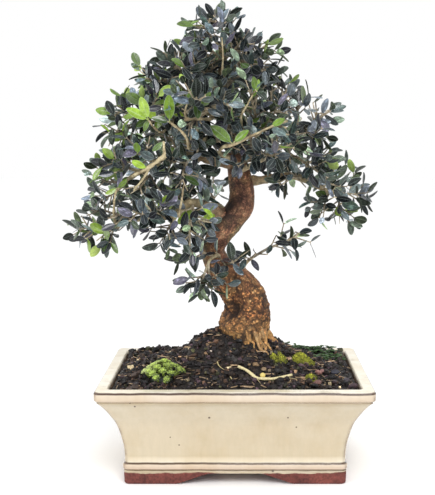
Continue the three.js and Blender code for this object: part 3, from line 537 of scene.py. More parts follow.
def grow_leaf(space, spray, base, tangent, turn_round, style, draw):
    for attempt in range(TRIES):
        angle = style["open"] * (0.8 + 0.45 * draw())
        turn = turn_round + (draw() - 0.5) * style["turn"] * (1 + 0.5 * attempt)
        length = LEAF_LENGTH * style["size"] * (0.82 + 0.36 * draw())
        width = length * LEAF_SHARE * (0.86 + 0.3 * draw())
        roll = (draw() - 0.5) * style["roll"]
        axis = unit(tangent * math.cos(angle) + around(tangent, turn) * math.sin(angle))
        face = tangent + 0.3 * UP
        face = turned(unit(face - axis * float(face @ axis)), axis, roll)
        if space.take(leaf_balls(base, axis, length, width), spray):
            spray["leaves"].append((base, axis, face, length, width))
            return


def grow_pairs(space, spray, shoot, start, first_angle, draw):
    count = max(1, math.floor(((1 - start) * shoot["length"]) / LEAF_SPACING))
    for k in range(count + 1):
        t = start + ((1 - start) * k) / count
        style = TIP_LEAVES if k == count else SIDE_LEAVES
        for side in (0, math.pi):
            turn = first_angle + k * (math.pi / 2) + side
            grow_leaf(space, spray, shoot["at"](t), shoot["along"](t), turn, style, draw)


def grow_shoots(space, grown):
    for spray, draw in grown:
        grow_twigs(space, spray, draw)
    for spray, draw in grown:
        start = max(PAIRS_FROM, spray["stub"] + PAST_STUB)
        grow_pairs(space, spray, spray, start, draw() * 3, draw)
        for twig in spray["twigs"]:
            grow_pairs(space, spray, twig, TWIG_PAIRS_FROM, draw() * 3, draw)


def grow_sprays():
    """The part's sprays, each with its share of the scene's own sprays in its list of extras."""
    space = Space()
    grow_wood(space)
    grown, seed = [], FIRST_SEED
    for name, places in SPRAYS.items():
        for index, (place, tip) in enumerate(places, 1):
            draw = random_source(seed * SEED_STEP)
            spray = grow_stem(space, name, len(grown) + 1, place, tip, draw)
            spray["name"] = f"{name}_{index}"
            grown.append((spray, draw))
            seed += 1
    grow_shoots(space, grown)
    sprays = [spray for spray, _ in grown]
    extra = []
    for name, places in FILL_SPRAYS.items():
        carried = [spray for spray in sprays if spray["name"].startswith(name + "_")]
        for index, (place, tip, *twig_count) in enumerate(places):
            draw = random_source(seed * SEED_STEP)
            spray = grow_fill_stem(space, name, len(grown) + len(extra) + 1, place, tip, draw)
            spray["share"] = FILL_CLOSENESS
            if twig_count:
                spray["twig_count"] = twig_count[0]
            carried[index % len(carried)].setdefault("extras", []).append(spray)
            extra.append((spray, draw))
            seed += 1
    grow_shoots(space, extra)
    return sprays


# Meshes

# Both are read from the frame by main(): the CAD box in the pot's millimetres, and the pot's centre in metres
FRAME_CORNERS = None
CENTRE = np.zeros(3)


class Shape:
    """Points and faces in millimetres from the pot's centre, with a tint at each point, for one piece."""

    def __init__(self):
        self.points, self.faces, self.slots, self.tints, self.places = [], [], [], [], []
        self.count = 0

    def add(self, points, faces, slot=0, tint=(0, 0, 0), places=None):
        """tint is one colour or one for each point, and places are across and along values for blades."""
        points = np.asarray(points, float).reshape(-1, 3)
        count = len(points)
        self.points.append(points)
        self.tints.append(np.broadcast_to(np.asarray(tint, float), (count, 3)))
        self.places.append(np.zeros((count, 2)) if places is None else places)
        self.faces += [[self.count + i for i in face] for face in faces]
        self.slots += [slot] * len(faces)
        self.count += count

    def add_rings(self, rings, slot=0, tint=(0, 0, 0)):
        self.add(np.vstack(rings), skin(len(rings), len(rings[0])), slot, tint)

    def make(self, name, materials, crease=None):
        mesh = bpy.data.meshes.new(name)
        mesh.from_pydata((np.vstack(self.points) * MM + CENTRE).tolist(), [], self.faces)
        for material in materials:
            mesh.materials.append(material)
        mesh.polygons.foreach_set("material_index", self.slots)
        mesh.shade_smooth()
        if crease is not None:
            mesh.set_sharp_from_angle(angle=math.radians(crease))
        tint = mesh.attributes.new("tint", "FLOAT_COLOR", "POINT")
        colours = np.hstack([np.vstack(self.tints), np.ones((self.count, 1))])
        tint.data.foreach_set("color", colours.ravel())
        corners = np.empty(len(mesh.loops), int)
        mesh.loops.foreach_get("vertex_index", corners)
        layer = mesh.uv_layers.new(name="blade")
        layer.uv.foreach_set("vector", np.vstack(self.places)[corners].ravel())
        return linked(name, mesh)


def linked(name, mesh):
    piece = bpy.data.objects.new(name, mesh)
    bpy.context.scene.collection.objects.link(piece)
    return piece


def stand_for(piece, slot, *nodes):
    """The piece belongs to the object and stands for these CAD nodes, which it hides. The slot is not used.
    """
    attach(piece, "root")
    if nodes:
        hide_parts(*nodes)


def skin(rings, sides):
    """Faces over rings of points that turn anticlockwise about the way they travel, and over both ends."""
    faces = []
    for i in range(rings - 1):
        for j in range(sides):
            k = (j + 1) % sides
            faces.append((i * sides + j, i * sides + k, (i + 1) * sides + k, (i + 1) * sides + j))
    faces.append(tuple(range(sides - 1, -1, -1)))
    faces.append(tuple((rings - 1) * sides + j for j in range(sides)))
    return faces


def circle(sides):
    angles = np.arange(sides) * TAU / sides
    return np.cos(angles)[:, None], np.sin(angles)[:, None]


def sweep(at, radius_at, shares, sides):
    """Rings of points along a line, each turned as little as possible from the last."""
    cosine, sine = circle(sides)
    rings, u = [], None
    for t in shares:
        direction = direction_of(at, t)
        u = across(direction)[0] if u is None else unit(u - direction * float(u @ direction))
        rings.append(at(t) + (cosine * u + sine * cross(direction, u)) * radius_at(t))
    return np.vstack(rings)


def add_tube(shape, at, radius_at, shares, sides, tint=(0, 0, 0), slot=0):
    shape.add(sweep(at, radius_at, shares, sides), skin(len(shares), sides), slot, tint)


# The wood

TRUNK_SIDES, TRUNK_RINGS, BRANCH_SIDES, BRANCH_STEP, BARE_SIDES = 112, 400, 14, 2.5, 10
# Where the trunk bends most, and how far that knee and the flared foot reach, as shares of its length
KNEE_AT, KNEE_REACH, FOOT_REACH = 0.24, 0.1, 0.1
HOLLOWS = (np.array((-1, -20, 158)), np.array((-6, -18, 152)), np.array((-11, -13, 147)))
HOLLOW_REACH, HOLLOW_DEPTH = 6.5, 6
# Painted shade on the upper trunk's left side, as place and reach
PAINTED_SHADE_PLACES = ((np.array((-7, -11, 257)), 13), (np.array((-18, -12, 242)), 12))
# Swellings of the trunk's foot, as place, reach and height
LOBES = ((np.array((-10, 3, 143)), 12, 7), (np.array((-6, -17, 136)), 8, 6))
# Cork low on the trunk gives way to fibres above. The bark's cells and lumps are sizes in millimetres, and
# the fibres' are shares of a turn and of the trunk's length.
CORK_TOP, CORK_BLEND, CORK_CELL, PLATE_CELL, LUMP_SIZE = 187, 26, 3.4, 9, 16
FIBRES_ROUND, FIBRES_ALONG = 5, 26
# The radii between which wood takes on the look of a thin twig
THICK_WOOD, THIN_WOOD = 7, 1
# Roots leave the trunk's foot at these angles, in radians from the right, and the fine ones drift as they go
ROOTS_X, ROOTS_Y, THICK_ROOTS, THICK_REACH = 9, 2, (-0.1, 0.9, 1.8), 32
FINE_ROOTS, FINE_STARTS, FINE_ENDS = 12, (-1.5, -0.45), (-1.1, -0.65)


def bark_shape(t, angle):
    """The trunk's outline at a share of its length, as a factor on its radius."""
    knee = math.exp(-(((t - KNEE_AT) / KNEE_REACH) ** 2))
    foot = math.exp(-((t / FOOT_REACH) ** 2))
    knots = 0.05 * np.sin(3 * angle + 40 * t) * (1 - 0.6 * t) + 0.03 * np.sin(5 * angle - 63 * t)
    return 1 + knots + 0.06 * knee * np.cos(2 * angle + 0.6) + 0.12 * foot * np.cos(5 * angle)


def trunk_points():
    """The trunk's smooth surface, its outward directions, and each point's share along it."""
    angle = np.arange(TRUNK_SIDES) * TAU / TRUNK_SIDES
    cosine, sine = circle(TRUNK_SIDES)
    surface, outward, shares = [], [], []
    for t in steps(TRUNK_RINGS):
        direction = direction_of(TRUNK_CURVE, t)
        side = unit(np.array((direction[2], 0, -direction[0])))
        out = cosine * side + sine * cross(direction, side)
        surface.append(TRUNK_CURVE(t) + out * (trunk_radius(t) * bark_shape(t, angle))[:, None])
        outward.append(out)
        shares.append(np.full(TRUNK_SIDES, t))
    return np.vstack(surface), np.vstack(outward), np.hstack(shares)


def near(points, place, reach):
    return np.exp(-(np.linalg.norm(points - place, axis=1) / reach) ** 2)


def thinness(radius):
    return np.clip((THICK_WOOD - radius) / (THICK_WOOD - THIN_WOOD), 0, 1)


def add_trunk(shape, noise):
    """The trunk with its bark. Its tint says how corky, how dark and how thin the wood is."""
    surface, out, share = trunk_points()
    hollow = np.clip(1.25 * sum(near(surface, place, HOLLOW_REACH) for place in HOLLOWS), 0, 1) ** 2
    swelling = sum(height * near(surface, place, reach) for place, reach, height in LOBES)
    surface = surface + out * (swelling - HOLLOW_DEPTH * hollow)[:, None]
    cork = 1 / (1 + np.exp((surface[:, 2] - CORK_TOP) / (CORK_BLEND / 4)))
    grain = np.clip(noise.cells(surface / CORK_CELL)[1] * 2.2, 0, 1)
    plates = np.clip(noise.cells(surface / PLATE_CELL)[1] * 3, 0, 1)
    radius = np.array([trunk_radius(t) for t in share])
    fibres = noise.octaves(np.column_stack([out[:, :2] * FIBRES_ROUND, share * FIBRES_ALONG]), 3)
    lumps = noise.octaves(surface / LUMP_SIZE, 2)
    depth = cork * (0.9 * grain + 0.9 * plates - 1.2) + (1 - cork) * (0.55 * fibres)
    size = np.clip(radius / 12, 0.15, 1)
    surface = surface + out * (size * (depth + lumps))[:, None]
    cracks = (1 - grain) * cork * 0.6 + (1 - plates) * cork * 0.5 + np.clip(-fibres, 0, 1) * 0.5
    # Painted shade: dark places on the upper trunk's left side, where light does not reach
    painted_shade = sum(near(surface, place, reach) for place, reach in PAINTED_SHADE_PLACES)
    # The dark tint: the bark's own cracks, painted shade in the hollows, and painted shade on the upper
    # trunk's left side
    dark = np.clip(np.clip(cracks, 0, 1) + 1.2 * hollow + 0.9 * painted_shade, 0, 1)
    tint = np.column_stack([cork, dark, thinness(radius)])
    shape.add(surface, skin(TRUNK_RINGS + 1, TRUNK_SIDES), 0, tint)


def add_root(shape, start, end, radius, pale, reach, source):
    """A root from one angle round the trunk's foot to another, where it dives into the soil."""
    top = source.uniform(8, 15)
    flat = 1 if radius < 3 else 0.5
    line = []
    for share, away, height in ((0, 20, top), (0.35, 24.5, 0.5 * top), (0.6, 0.78 * reach, 2),
                                (0.85, 0.9 * reach, 0.6), (1, reach, -3)):
        angle = mix(start, end, share) + source.uniform(-0.12, 0.12)
        x, y = ROOTS_X + away * math.cos(angle), ROOTS_Y + away * math.sin(angle)
        line.append(on_soil(x, y, height * flat))
    tint = (1 - 0.6 * pale, source.uniform(0, 0.35), pale)
    add_tube(shape, through(line), lambda t: radius * (1 - 0.55 * t), steps(20), 8, tint)


def add_roots(shape, source):
    """Roots that run from the trunk's foot into the soil, with thin pale ones at the front right."""
    thick = [(angle, angle, source.uniform(4, 5), 0, THICK_REACH) for angle in THICK_ROOTS]
    starts, ends = np.linspace(*FINE_STARTS, FINE_ROOTS), np.linspace(*FINE_ENDS, FINE_ROOTS)
    fine = [(start, end, source.uniform(1.0, 2.4), source.uniform(0.02, 0.25), source.uniform(28, 41))
            for start, end in zip(starts, ends)]
    for root in thick + fine:
        add_root(shape, *root, source)


def hoops(at, radius_at, count, sides):
    """Rings of points round a line, and for each point its middle on the line."""
    points = sweep(at, radius_at, steps(count), sides)
    return points, np.repeat([at(t) for t in steps(count)], sides, axis=0)


def add_branch(shape, noise, name):
    at, radius_at = BRANCH_CURVES[name], branch_radius(name)
    length = curve_length(at)
    count = int(length / BRANCH_STEP)
    swollen = lambda t: radius_at(t) * (1 + 0.55 * math.exp(-t * length / 7))
    points, middles = hoops(at, swollen, count, BRANCH_SIDES)
    out = points - middles
    ripple = 0.16 * noise.octaves(points / 4.5, 2) + 0.1 * noise.at(points / 1.8)
    dark, thin = np.clip(-ripple * 4, 0, 1), thinness(np.linalg.norm(out, axis=1))
    points = middles + out * (1 + ripple)[:, None]
    shape.add(points, skin(count + 1, BRANCH_SIDES), 0, np.column_stack([0 * dark, dark, thin]))


def add_bare_branch(shape, noise, line, thick, thin):
    """An old knotty branch with darker patches of bark."""
    count = 12 * len(line)
    knotty = lambda t: mix(thick, thin, t) * (1 + 0.14 * math.sin(23 * t) + 0.1 * math.sin(57 * t + 1))
    points, middles = hoops(through(line), knotty, count, BARE_SIDES)
    points = middles + (points - middles) * (1 + 0.2 * noise.at(points / 1.7))[:, None]
    patches = np.clip(0.1 + 1.1 * noise.at(points / 5), 0, 0.8)
    tint = np.column_stack([0 * patches, patches, 1 - 0.75 * patches])
    shape.add(points, skin(count + 1, BARE_SIDES), 0, tint)


def wood_shape(sprays, noise):
    shape = Shape()
    add_trunk(shape, noise)
    add_roots(shape, seeded("roots"))
    for name in BRANCHES:
        add_branch(shape, noise, name)
    for spray in sprays:
        if not spray["at_end"]:
            swollen = lambda t: STUB_RADIUS * (1.05 + 0.5 * (1 - t / spray["stub"]))
            add_tube(shape, spray["at"], swollen, steps(6, 0, spray["stub"]), 8, (0, 0.1, 0.95))
    for branch in BARE_BRANCHES:
        add_bare_branch(shape, noise, *branch)
    return shape


# The sprays

BLADE_ROWS = np.array((0.13, 0.2, 0.31, 0.45, 0.6, 0.75, 0.88, 0.96))
BLADE_COLUMNS = np.array((-1.0, -0.55, 0.0, 0.55, 1.0))
BLADE_FROM = 0.1
BLADE_HALF = 0.5 * np.sin(math.pi * (BLADE_ROWS - BLADE_FROM) / (1 - BLADE_FROM)) ** 0.62
BLADE_THICK, RIB_DEPTH, RIB_GROOVE = 0.42, 0.3, 0.15
TOP, UNDER, STALKS = 0, 1, 2
# How far a stem starts inside its stub, as a share, how far apart its rings are, the share of stems that end
# in a bare tip, and how long such tips are
STEM_OVERLAP, STEM_STEP, BARE_TIPS, BARE_TIP_LENGTH = 0.04, 3, 0.4, (8, 17)
TWIG_THICKNESS, LEAF_STALK_THICKNESS = (0.85, 0.5), (0.6, 0.38)
# The least and most that a blade bends down, folds up and twists, and the sizes tried to keep it in the frame
BLADE_LEAST, BLADE_MOST = (0.02, -0.45, -0.4), (0.14, 0.5, 0.4)
BLADE_SIZES = (1, 0.9, 0.8, 0.7, 0.6)
STALK_END, YOUNG_WIDTH = 0.13, 0.42


def blade_faces():
    """Faces of a blade: upper points in rows across it, the rib's lower points, then root and tip."""
    rows, wide = len(BLADE_ROWS), len(BLADE_COLUMNS)
    rib = rows * wide
    root, tip = rib + rows, rib + rows + 1
    upper = lambda i, j: wide * i + j
    lower = lambda i, j: (wide * i, rib + i, wide * i + wide - 1)[j]
    top, under = [], []
    for j in range(wide - 1):
        top += [(upper(i, j), upper(i + 1, j), upper(i + 1, j + 1), upper(i, j + 1)) for i in range(rows - 1)]
        top += [(root, upper(0, j), upper(0, j + 1)), (upper(rows - 1, j), tip, upper(rows - 1, j + 1))]
    for j in range(2):
        for i in range(rows - 1):
            under.append((lower(i, j), lower(i, j + 1), lower(i + 1, j + 1), lower(i + 1, j)))
        under += [(root, lower(0, j + 1), lower(0, j)), (lower(rows - 1, j), lower(rows - 1, j + 1), tip)]
    return top, under


BLADE_TOP, BLADE_UNDER = blade_faces()


def blade_points(leaf, bend, fold, twist):
    base, axis, face, length, width = leaf
    side = cross(face, axis)
    rows, half = BLADE_ROWS[:, None], (BLADE_HALF * width)[:, None]
    aside = half * BLADE_COLUMNS
    lift = -bend * length * rows ** 2 + fold * half * np.abs(BLADE_COLUMNS) + twist * aside * rows
    lift = lift - RIB_GROOVE * (BLADE_COLUMNS == 0)
    ahead = length * rows + 0 * aside
    upper = np.stack([ahead, aside, lift], axis=2).reshape(-1, 3)
    middle = lift[:, 2] - BLADE_THICK - RIB_DEPTH * (1.1 - BLADE_ROWS)
    rib = np.column_stack([ahead[:, 2], 0 * middle, middle])
    ends = [(BLADE_FROM * length, 0, -0.2), (length, 0, -bend * length - 0.1)]
    local = np.vstack([upper, rib, ends])
    return base + local @ np.vstack([axis, side, face])


def blade_places():
    rows, columns = np.meshgrid(BLADE_ROWS, BLADE_COLUMNS, indexing="ij")
    upper = np.column_stack([columns.ravel(), rows.ravel()])
    rib = np.column_stack([0 * BLADE_ROWS, BLADE_ROWS])
    return np.vstack([upper, rib, [(0, 0), (0, 1)]])


BLADE_PLACES = blade_places()
# Points on the bare branches and their young leaves, how far other leaves stay from them as seen from the
# front, and how far behind them such leaves may be
BARE_POINTS = np.array([through(line)(t) for line, _, _ in BARE_BRANCHES for t in steps(24, 0.25, 1)]
                       + [mix(*np.array(ends, float), t) for ends in YOUNG_LEAVES for t in (0.4, 0.7)])
BARE_CLEAR, BARE_BEHIND = 2.8, 6


def hides_bare_branch(leaf):
    """Whether a leaf cuts a bare branch or stands in front of it."""
    base, axis, _, length, _ = leaf
    for share in (0.2, 0.5, 0.8):
        apart = BARE_POINTS - (base + axis * (share * length))
        if ((np.hypot(apart[:, 0], apart[:, 2]) < BARE_CLEAR) & (apart[:, 1] > -BARE_BEHIND)).any():
            return True
    return False


def inside_frame(points):
    low, high = FRAME_CORNERS
    return (points >= low).all() and (points <= high).all()


def add_leaf(shape, leaf, source, young_share):
    young = source.uniform(0.25, 1) if source.random() < young_share else 0
    look = source.uniform(BLADE_LEAST, BLADE_MOST)
    tint = (young, source.random(), source.random())
    base, axis, face, length, width = leaf
    for shrink in BLADE_SIZES:
        points = blade_points((base, axis, face, length * shrink, width * shrink), *look)
        if inside_frame(points):
            break
    else:
        return
    shape.add(points, BLADE_TOP, TOP, tint, BLADE_PLACES)
    shape.faces += [[i + shape.count - len(points) for i in face] for face in BLADE_UNDER]
    shape.slots += [UNDER] * len(BLADE_UNDER)
    end = base + axis * (STALK_END * length * shrink)
    stalk = lambda t: mix(base, end, t) - face * (0.2 * t)
    add_tube(shape, stalk, lambda t: mix(*LEAF_STALK_THICKNESS, t), (0, 1), 4, (young, 0.3, 0.3), STALKS)


def add_spray(shape, spray, source, young_share, thinned):
    start = max(0, spray["stub"] - STEM_OVERLAP)
    count = max(6, int(spray["length"] / STEM_STEP))
    thickness = lambda t: 1.02 * mix(*STEM_RADII, min(1, max(0, (t - spray["stub"]) / (1 - spray["stub"]))))
    add_tube(shape, spray["at"], thickness, steps(count, start, 1), 8, (0, 0.5, 0.5), STALKS)
    for twig in spray["twigs"]:
        add_tube(shape, twig["at"], lambda t: mix(*TWIG_THICKNESS, t), steps(4), 6, (0, 0.5, 0.7), STALKS)
    for leaf in spray["leaves"]:
        if hides_bare_branch(leaf) or (thinned and source.random() < thinned):
            continue
        add_leaf(shape, leaf, source, young_share)
    if source.random() < BARE_TIPS:
        end, way = spray["at"](1), spray["along"](1)
        tip = end + unit(way + source.normal(0, 0.25, 3)) * source.uniform(*BARE_TIP_LENGTH)
        if inside_frame(tip):
            line = lambda t: mix(end, tip, t)
            add_tube(shape, line, lambda t: 0.55 - 0.3 * t, steps(3), 5, (0, 0.5, 0.5), STALKS)
    for extra in spray.get("extras", []):
        add_spray(shape, extra, source, young_share, thinned)


def young_leaves_shape(source):
    """The bright young leaves on the bare branches, with their faces to the front."""
    shape = Shape()
    for base, tip in YOUNG_LEAVES:
        base, way = np.array(base, float), np.subtract(tip, base)
        length = math.sqrt(float(way @ way))
        axis = way / length
        face = np.array((0.0, -1.0, 0.35))
        face = unit(face - axis * float(face @ axis))
        add_leaf(shape, (base, axis, face, length, YOUNG_WIDTH * length), source, 1)
    return shape


def spray_shape(spray, source):
    """A spray of the part with the scene's own sprays beside it."""
    shape = Shape()
    young_share = YOUNG_SPRAYS.get(spray["name"], source.choice(YOUNG_SHARES))
    add_spray(shape, spray, source, young_share, THINNED.get(spray["name"], 0))
    return shape


# The pot

CORNER_STEPS, POT_EDGE = 10, 0.5
OUTER, INNER = 0, 1


def outline(height, inset, corner_steps=CORNER_STEPS, side_steps=(1, 1)):
    """A rounded rectangle that stands in from the rim's outline by the same amount all round."""
    half = np.array((POT_LENGTH, POT_DEPTH)) / 2 - inset - RIM_CORNER
    signs = np.array(((1, 1), (-1, 1), (-1, -1), (1, -1)))
    points = []
    for index in range(4):
        angles = (index + np.arange(corner_steps + 1) / corner_steps) * math.pi / 2
        points += list(half * signs[index] + RIM_CORNER * np.column_stack([np.cos(angles), np.sin(angles)]))
        turn = RIM_CORNER * np.array((math.cos(angles[-1]), math.sin(angles[-1])))
        following = half * signs[(index + 1) % 4] + turn
        count = side_steps[index % 2]
        points += [mix(points[-1], following, i / count) for i in range(1, count)]
    return np.column_stack([points, np.full(len(points), height)])


def rounded(line, size=0.55):
    """The line with each inner corner replaced by a small curve."""
    line = [np.array(p, float) for p in line]
    result = [line[0]]
    for before, corner, after in zip(line, line[1:], line[2:]):
        ends = []
        for other in (before, after):
            way = other - corner
            reach = float(np.linalg.norm(way))
            ends.append(corner + way * min(size, 0.45 * reach) / reach)
        result += [ends[0], 0.25 * ends[0] + 0.5 * corner + 0.25 * ends[1], ends[1]]
    return result + [line[-1]]


def pot_sections():
    """Outer profile with its hollow body as a smooth curve and a groove under the rim, and inner profile."""
    foot = [p for p in POT_PROFILE if p[0] < BODY_FROM]
    body = [p for p in POT_PROFILE if BODY_FROM <= p[0] <= RIM_FROM]
    curve = through([(z, inset, 0) for z, inset in body])
    smooth = [tuple(curve(t)[:2]) for t in steps(22)]
    return rounded(foot + smooth + RIM_PROFILE), rounded(CAVITY_PROFILE)


def applied(piece):
    """The piece with its modifiers made part of its mesh."""
    bpy.context.view_layer.update()
    graph = bpy.context.evaluated_depsgraph_get()
    mesh = bpy.data.meshes.new_from_object(piece.evaluated_get(graph))
    piece.modifiers.clear()
    piece.data = mesh
    return piece


def cutter(sections):
    shape = Shape()
    shape.add_rings(sections)
    piece = shape.make("cutter", [])
    edit = bmesh.new()
    edit.from_mesh(piece.data)
    bmesh.ops.recalc_face_normals(edit, faces=edit.faces)
    edit.to_mesh(piece.data)
    return piece


def foot_gap(gap, turned_round):
    """A cutter for a gap between two feet, with slanted ends, through the pot's length or depth."""
    top, bottom = gap
    sections = []
    for y in (POT_LENGTH, -POT_LENGTH):
        section = [(-bottom, y, -1), (bottom, y, -1), (top, y, FLOOR_UNDERSIDE), (-top, y, FLOOR_UNDERSIDE)]
        sections.append(np.array([(b, a, z) if turned_round else (a, b, z) for a, b, z in section], float))
    return cutter(sections)


def ring(x, y, z, radius, sides):
    cosine, sine = circle(sides)
    return np.hstack([x + radius * cosine, y + radius * sine, np.full((sides, 1), z)])


def carve(piece, cutters):
    """The piece with the cutters taken away and its edges softened."""
    for tool in cutters:
        cut = piece.modifiers.new("cut", "BOOLEAN")
        cut.operation, cut.solver, cut.object = "DIFFERENCE", "EXACT", tool
    applied(piece)
    for tool in cutters:
        bpy.data.objects.remove(tool)
    soften = piece.modifiers.new("soften", "BEVEL")
    soften.width, soften.segments = POT_EDGE * MM, 2
    soften.limit_method, soften.angle_limit = "ANGLE", math.radians(55)
    return applied(piece)


def add_pot():
    """The pot. Its tint marks the ridges down its corners, where the glaze runs thin."""
    outer, inner = pot_sections()
    rings = [outline(z, inset) for z, inset in outer + inner]
    sides = len(rings[0])
    across_corner = (np.arange(sides) % (CORNER_STEPS + 1)) / CORNER_STEPS
    ridge = np.maximum(0, 1 - 2.2 * np.abs(across_corner - 0.5))
    tint = np.tile(np.column_stack([ridge, 0 * ridge, 0 * ridge]), (len(rings), 1))
    shape = Shape()
    shape.add_rings(rings, OUTER, tint)
    first_inner = (len(outer) - 1) * sides
    shape.slots = [INNER if min(face) >= first_inner else OUTER for face in shape.faces]
    piece = shape.make("glazed_pot", [glaze_look(), inner_glaze_look()], crease=40)
    recess = cutter([outline(z, FOOT_RECESS) for z in (-1, FLOOR_UNDERSIDE)])
    holes = [cutter([ring(x, 0, z, DRAIN_RADIUS, 40) for z in (FLOOR_UNDERSIDE - 2, FLOOR_TOP + 2)])
             for x in (-DRAIN_FROM_CENTRE, DRAIN_FROM_CENTRE)]
    carve(piece, [recess, foot_gap(LONG_GAP, False), foot_gap(SHORT_GAP, True), *holes])
    piece.data.shade_smooth()
    piece.data.set_sharp_from_angle(angle=math.radians(35))
    stand_for(piece, "glaze", "pot")


# The soil and what lies and grows on it

SOIL_RINGS, SOIL_CORNER_STEPS, SOIL_SIDE_STEPS, SOIL_EDGE_INSET = 76, 5, (106, 76), 13
CRUMB_CELL, CLOD_CELL, PATCH_SIZE = 3.1, 8.5, 17
SOIL_COLOURS = ((0.008, 0.006, 0.007), (0.028, 0.018, 0.014), (0.08, 0.045, 0.028), (0.048, 0.029, 0.036),
                (0.042, 0.042, 0.02), (0.24, 0.15, 0.085), (0.5, 0.4, 0.24))
GRAIN_ODDS, CLOD_ODDS = (0.4, 0.24, 0.13, 0.11, 0.05, 0.05, 0.02), (0.5, 0.24, 0.05, 0.14, 0.07)
# Where clods and grains lie: their number, and the least and most x and y. The second clods bank up the back.
CLOD_FIELDS = ((380, (-111, -70), (111, 70)), (190, (-111, 50), (111, 71)))
GRAINS, GRAINS_LOW, GRAINS_HIGH = 3300, (-110, -74), (110, 74)
# The shares of grains that are crumbs and chips, where the rest are fibres of this colour
CRUMB_SHARE, CHIP_SHARE, FIBRE_COLOUR = 0.68, 0.22, np.array((0.36, 0.25, 0.15))
# Pebbles and chips that show singly, as x, y, size and colour
PEBBLES = (
    (19, -45, 6, (0.2, 0.13, 0.07)), (27, -46, 5, (0.24, 0.17, 0.1)), (32, -49, 4.4, (0.2, 0.15, 0.1)),
    (13, -44, 3.6, (0.26, 0.18, 0.1)), (24, -41, 3.4, (0.16, 0.11, 0.07)), (50, -24, 5, (0.5, 0.3, 0.18)),
    (53, -20, 3.6, (0.45, 0.33, 0.24)), (79, -34, 6.5, (0.27, 0.13, 0.11)), (83, -28, 5, (0.22, 0.11, 0.1)),
    (96, -22, 8, (0.03, 0.03, 0.045)), (76, -60, 6.5, (0.2, 0.1, 0.085)), (-23, -30, 3.4, (0.6, 0.5, 0.42)),
    (104, -46, 7, (0.05, 0.04, 0.05)), (-90, -12, 3, (0.4, 0.3, 0.2)), (-26, -52, 4.5, (0.11, 0.1, 0.045)),
)
CUBE = np.array([(x, y, z) for x in (-1, 1) for y in (-1, 1) for z in (-1, 1)], float) / 2
CUBE_FACES = [(0, 1, 3, 2), (4, 6, 7, 5), (0, 4, 5, 1), (2, 3, 7, 6), (0, 2, 6, 4), (1, 5, 7, 3)]


def soil_height(x, y):
    away = ((x - HEAP_X) / HEAP_WIDE) ** 2 + ((y - HEAP_Y) / HEAP_DEEP) ** 2
    waves = 1.1 * np.sin(0.21 * x + 0.13 * y) * np.sin(0.17 * y - 0.09 * x)
    ripples = 0.7 * np.sin(0.37 * x - 0.29 * y)
    ridge = RIDGE_HEIGHT * np.exp(-((y - RIDGE_Y) / RIDGE_DEEP) ** 2)
    dip = DIP_DEPTH * np.exp(-((x - DIP_X) / DIP_WIDE) ** 2 - ((y - DIP_Y) / DIP_DEEP) ** 2)
    return SOIL_EDGE + 0.5 + HEAP_HEIGHT * np.exp(-away / 2) + waves + ripples + (ridge - dip)


def on_soil(x, y, lift):
    """The place at x and y that stands this much above the soil."""
    return np.array((x, y, soil_height(x, y) + lift))


def random_turn(source, tilt):
    """A random turn and then a random tilt of about this many radians, to multiply rows of points by."""
    turn = Matrix.Rotation(source.uniform(0, TAU), 3, "Z") @ Matrix.Rotation(source.normal(0, tilt), 3, "X")
    return np.array(turn).T


def add_grain(shape, place, size, source, tint):
    """A small rough block, turned at random and lying mostly flat."""
    corners = (CUBE + source.uniform(-0.16, 0.16, (8, 3))) * size
    shape.add(corners @ random_turn(source, 0.45) + place, CUBE_FACES, 0, tint)


def add_lump(shape, place, size, source, tint, rough):
    """A clod or a pebble: a rounded body with its points moved at random."""
    lifts = np.array((-0.96, -0.7, -0.2, 0.35, 0.78, 0.97))
    body = np.array([ring(0, 0, lift, math.sqrt(1 - lift * lift), 7) for lift in lifts])
    body = body * (1 + source.uniform(-rough, rough, (*body.shape[:2], 1))) * size / 2
    shape.add_rings(body @ random_turn(source, 0.5) + place, 0, tint)


def soil_colour(source, odds):
    """One of the soil's colours, mostly made darker and at most three times as bright."""
    colour = np.array(SOIL_COLOURS[source.choice(len(odds), p=odds)])
    return colour * min(math.exp(source.normal(-0.15, 0.6)), 3)


def patch(noise, x, y):
    """A factor for brightness that makes patches on the soil."""
    return 1 + 0.6 * float(noise.at(np.array([(x / PATCH_SIZE, y / PATCH_SIZE, 0.5)]))[0])


def soil_rings():
    """Four rings up the pot's inner wall to the soil's edge, then rings over the soil to its heap."""
    rim, middle, floor = CAVITY_PROFILE[2:]
    around_soil = lambda z, inset: outline(z, inset, SOIL_CORNER_STEPS, SOIL_SIDE_STEPS)
    rings = [around_soil(z, inset + 2 * GAP) for z, inset in ((FLOOR_TOP + GAP, floor[1]), middle, rim)]
    edge = around_soil(SOIL_EDGE, SOIL_EDGE_INSET)
    rings.append(edge)
    for i in range(1, SOIL_RINGS):
        x, y = mix(np.array((HEAP_X, HEAP_Y)), edge[:, :2], 1 - i / SOIL_RINGS).T
        rings.append(np.column_stack([x, y, soil_height(x, y)]))
    return rings


def add_ground(shape, noise):
    rings = soil_rings()
    points, sides = np.vstack(rings), len(rings[0])
    crumbs, _ = noise.cells(points / CRUMB_CELL)
    clods, _ = noise.cells(points / CLOD_CELL)
    rough = 1.5 * (0.45 - crumbs) + 2.6 * (0.5 - clods) + 0.7 * noise.at(points / 1.3)
    points[4 * sides:, 2] += rough[4 * sides:]
    # The ground's tint: random tone, darkened throughout and in the dips between clods as painted shade
    # between the crumbs
    shade = np.clip(0.6 + 0.5 * noise.at(points / 2.1) + 0.6 * (0.5 - clods), 0.15, 1.4)[:, None]
    shape.add(points, skin(len(rings), sides), 0, 0.6 * shade * SOIL_COLOURS[1])


def add_clods(shape, noise, source):
    for count, low, high in CLOD_FIELDS:
        for _ in range(count):
            x, y = source.uniform(low, high)
            tint = soil_colour(source, CLOD_ODDS) * patch(noise, x, y)
            size = source.uniform(2.6, 8) * source.uniform((0.8, 0.5, 0.4), (1.3, 1, 0.9))
            add_lump(shape, on_soil(x, y, 0.25 * size[2]), size, source, tint, 0.3)


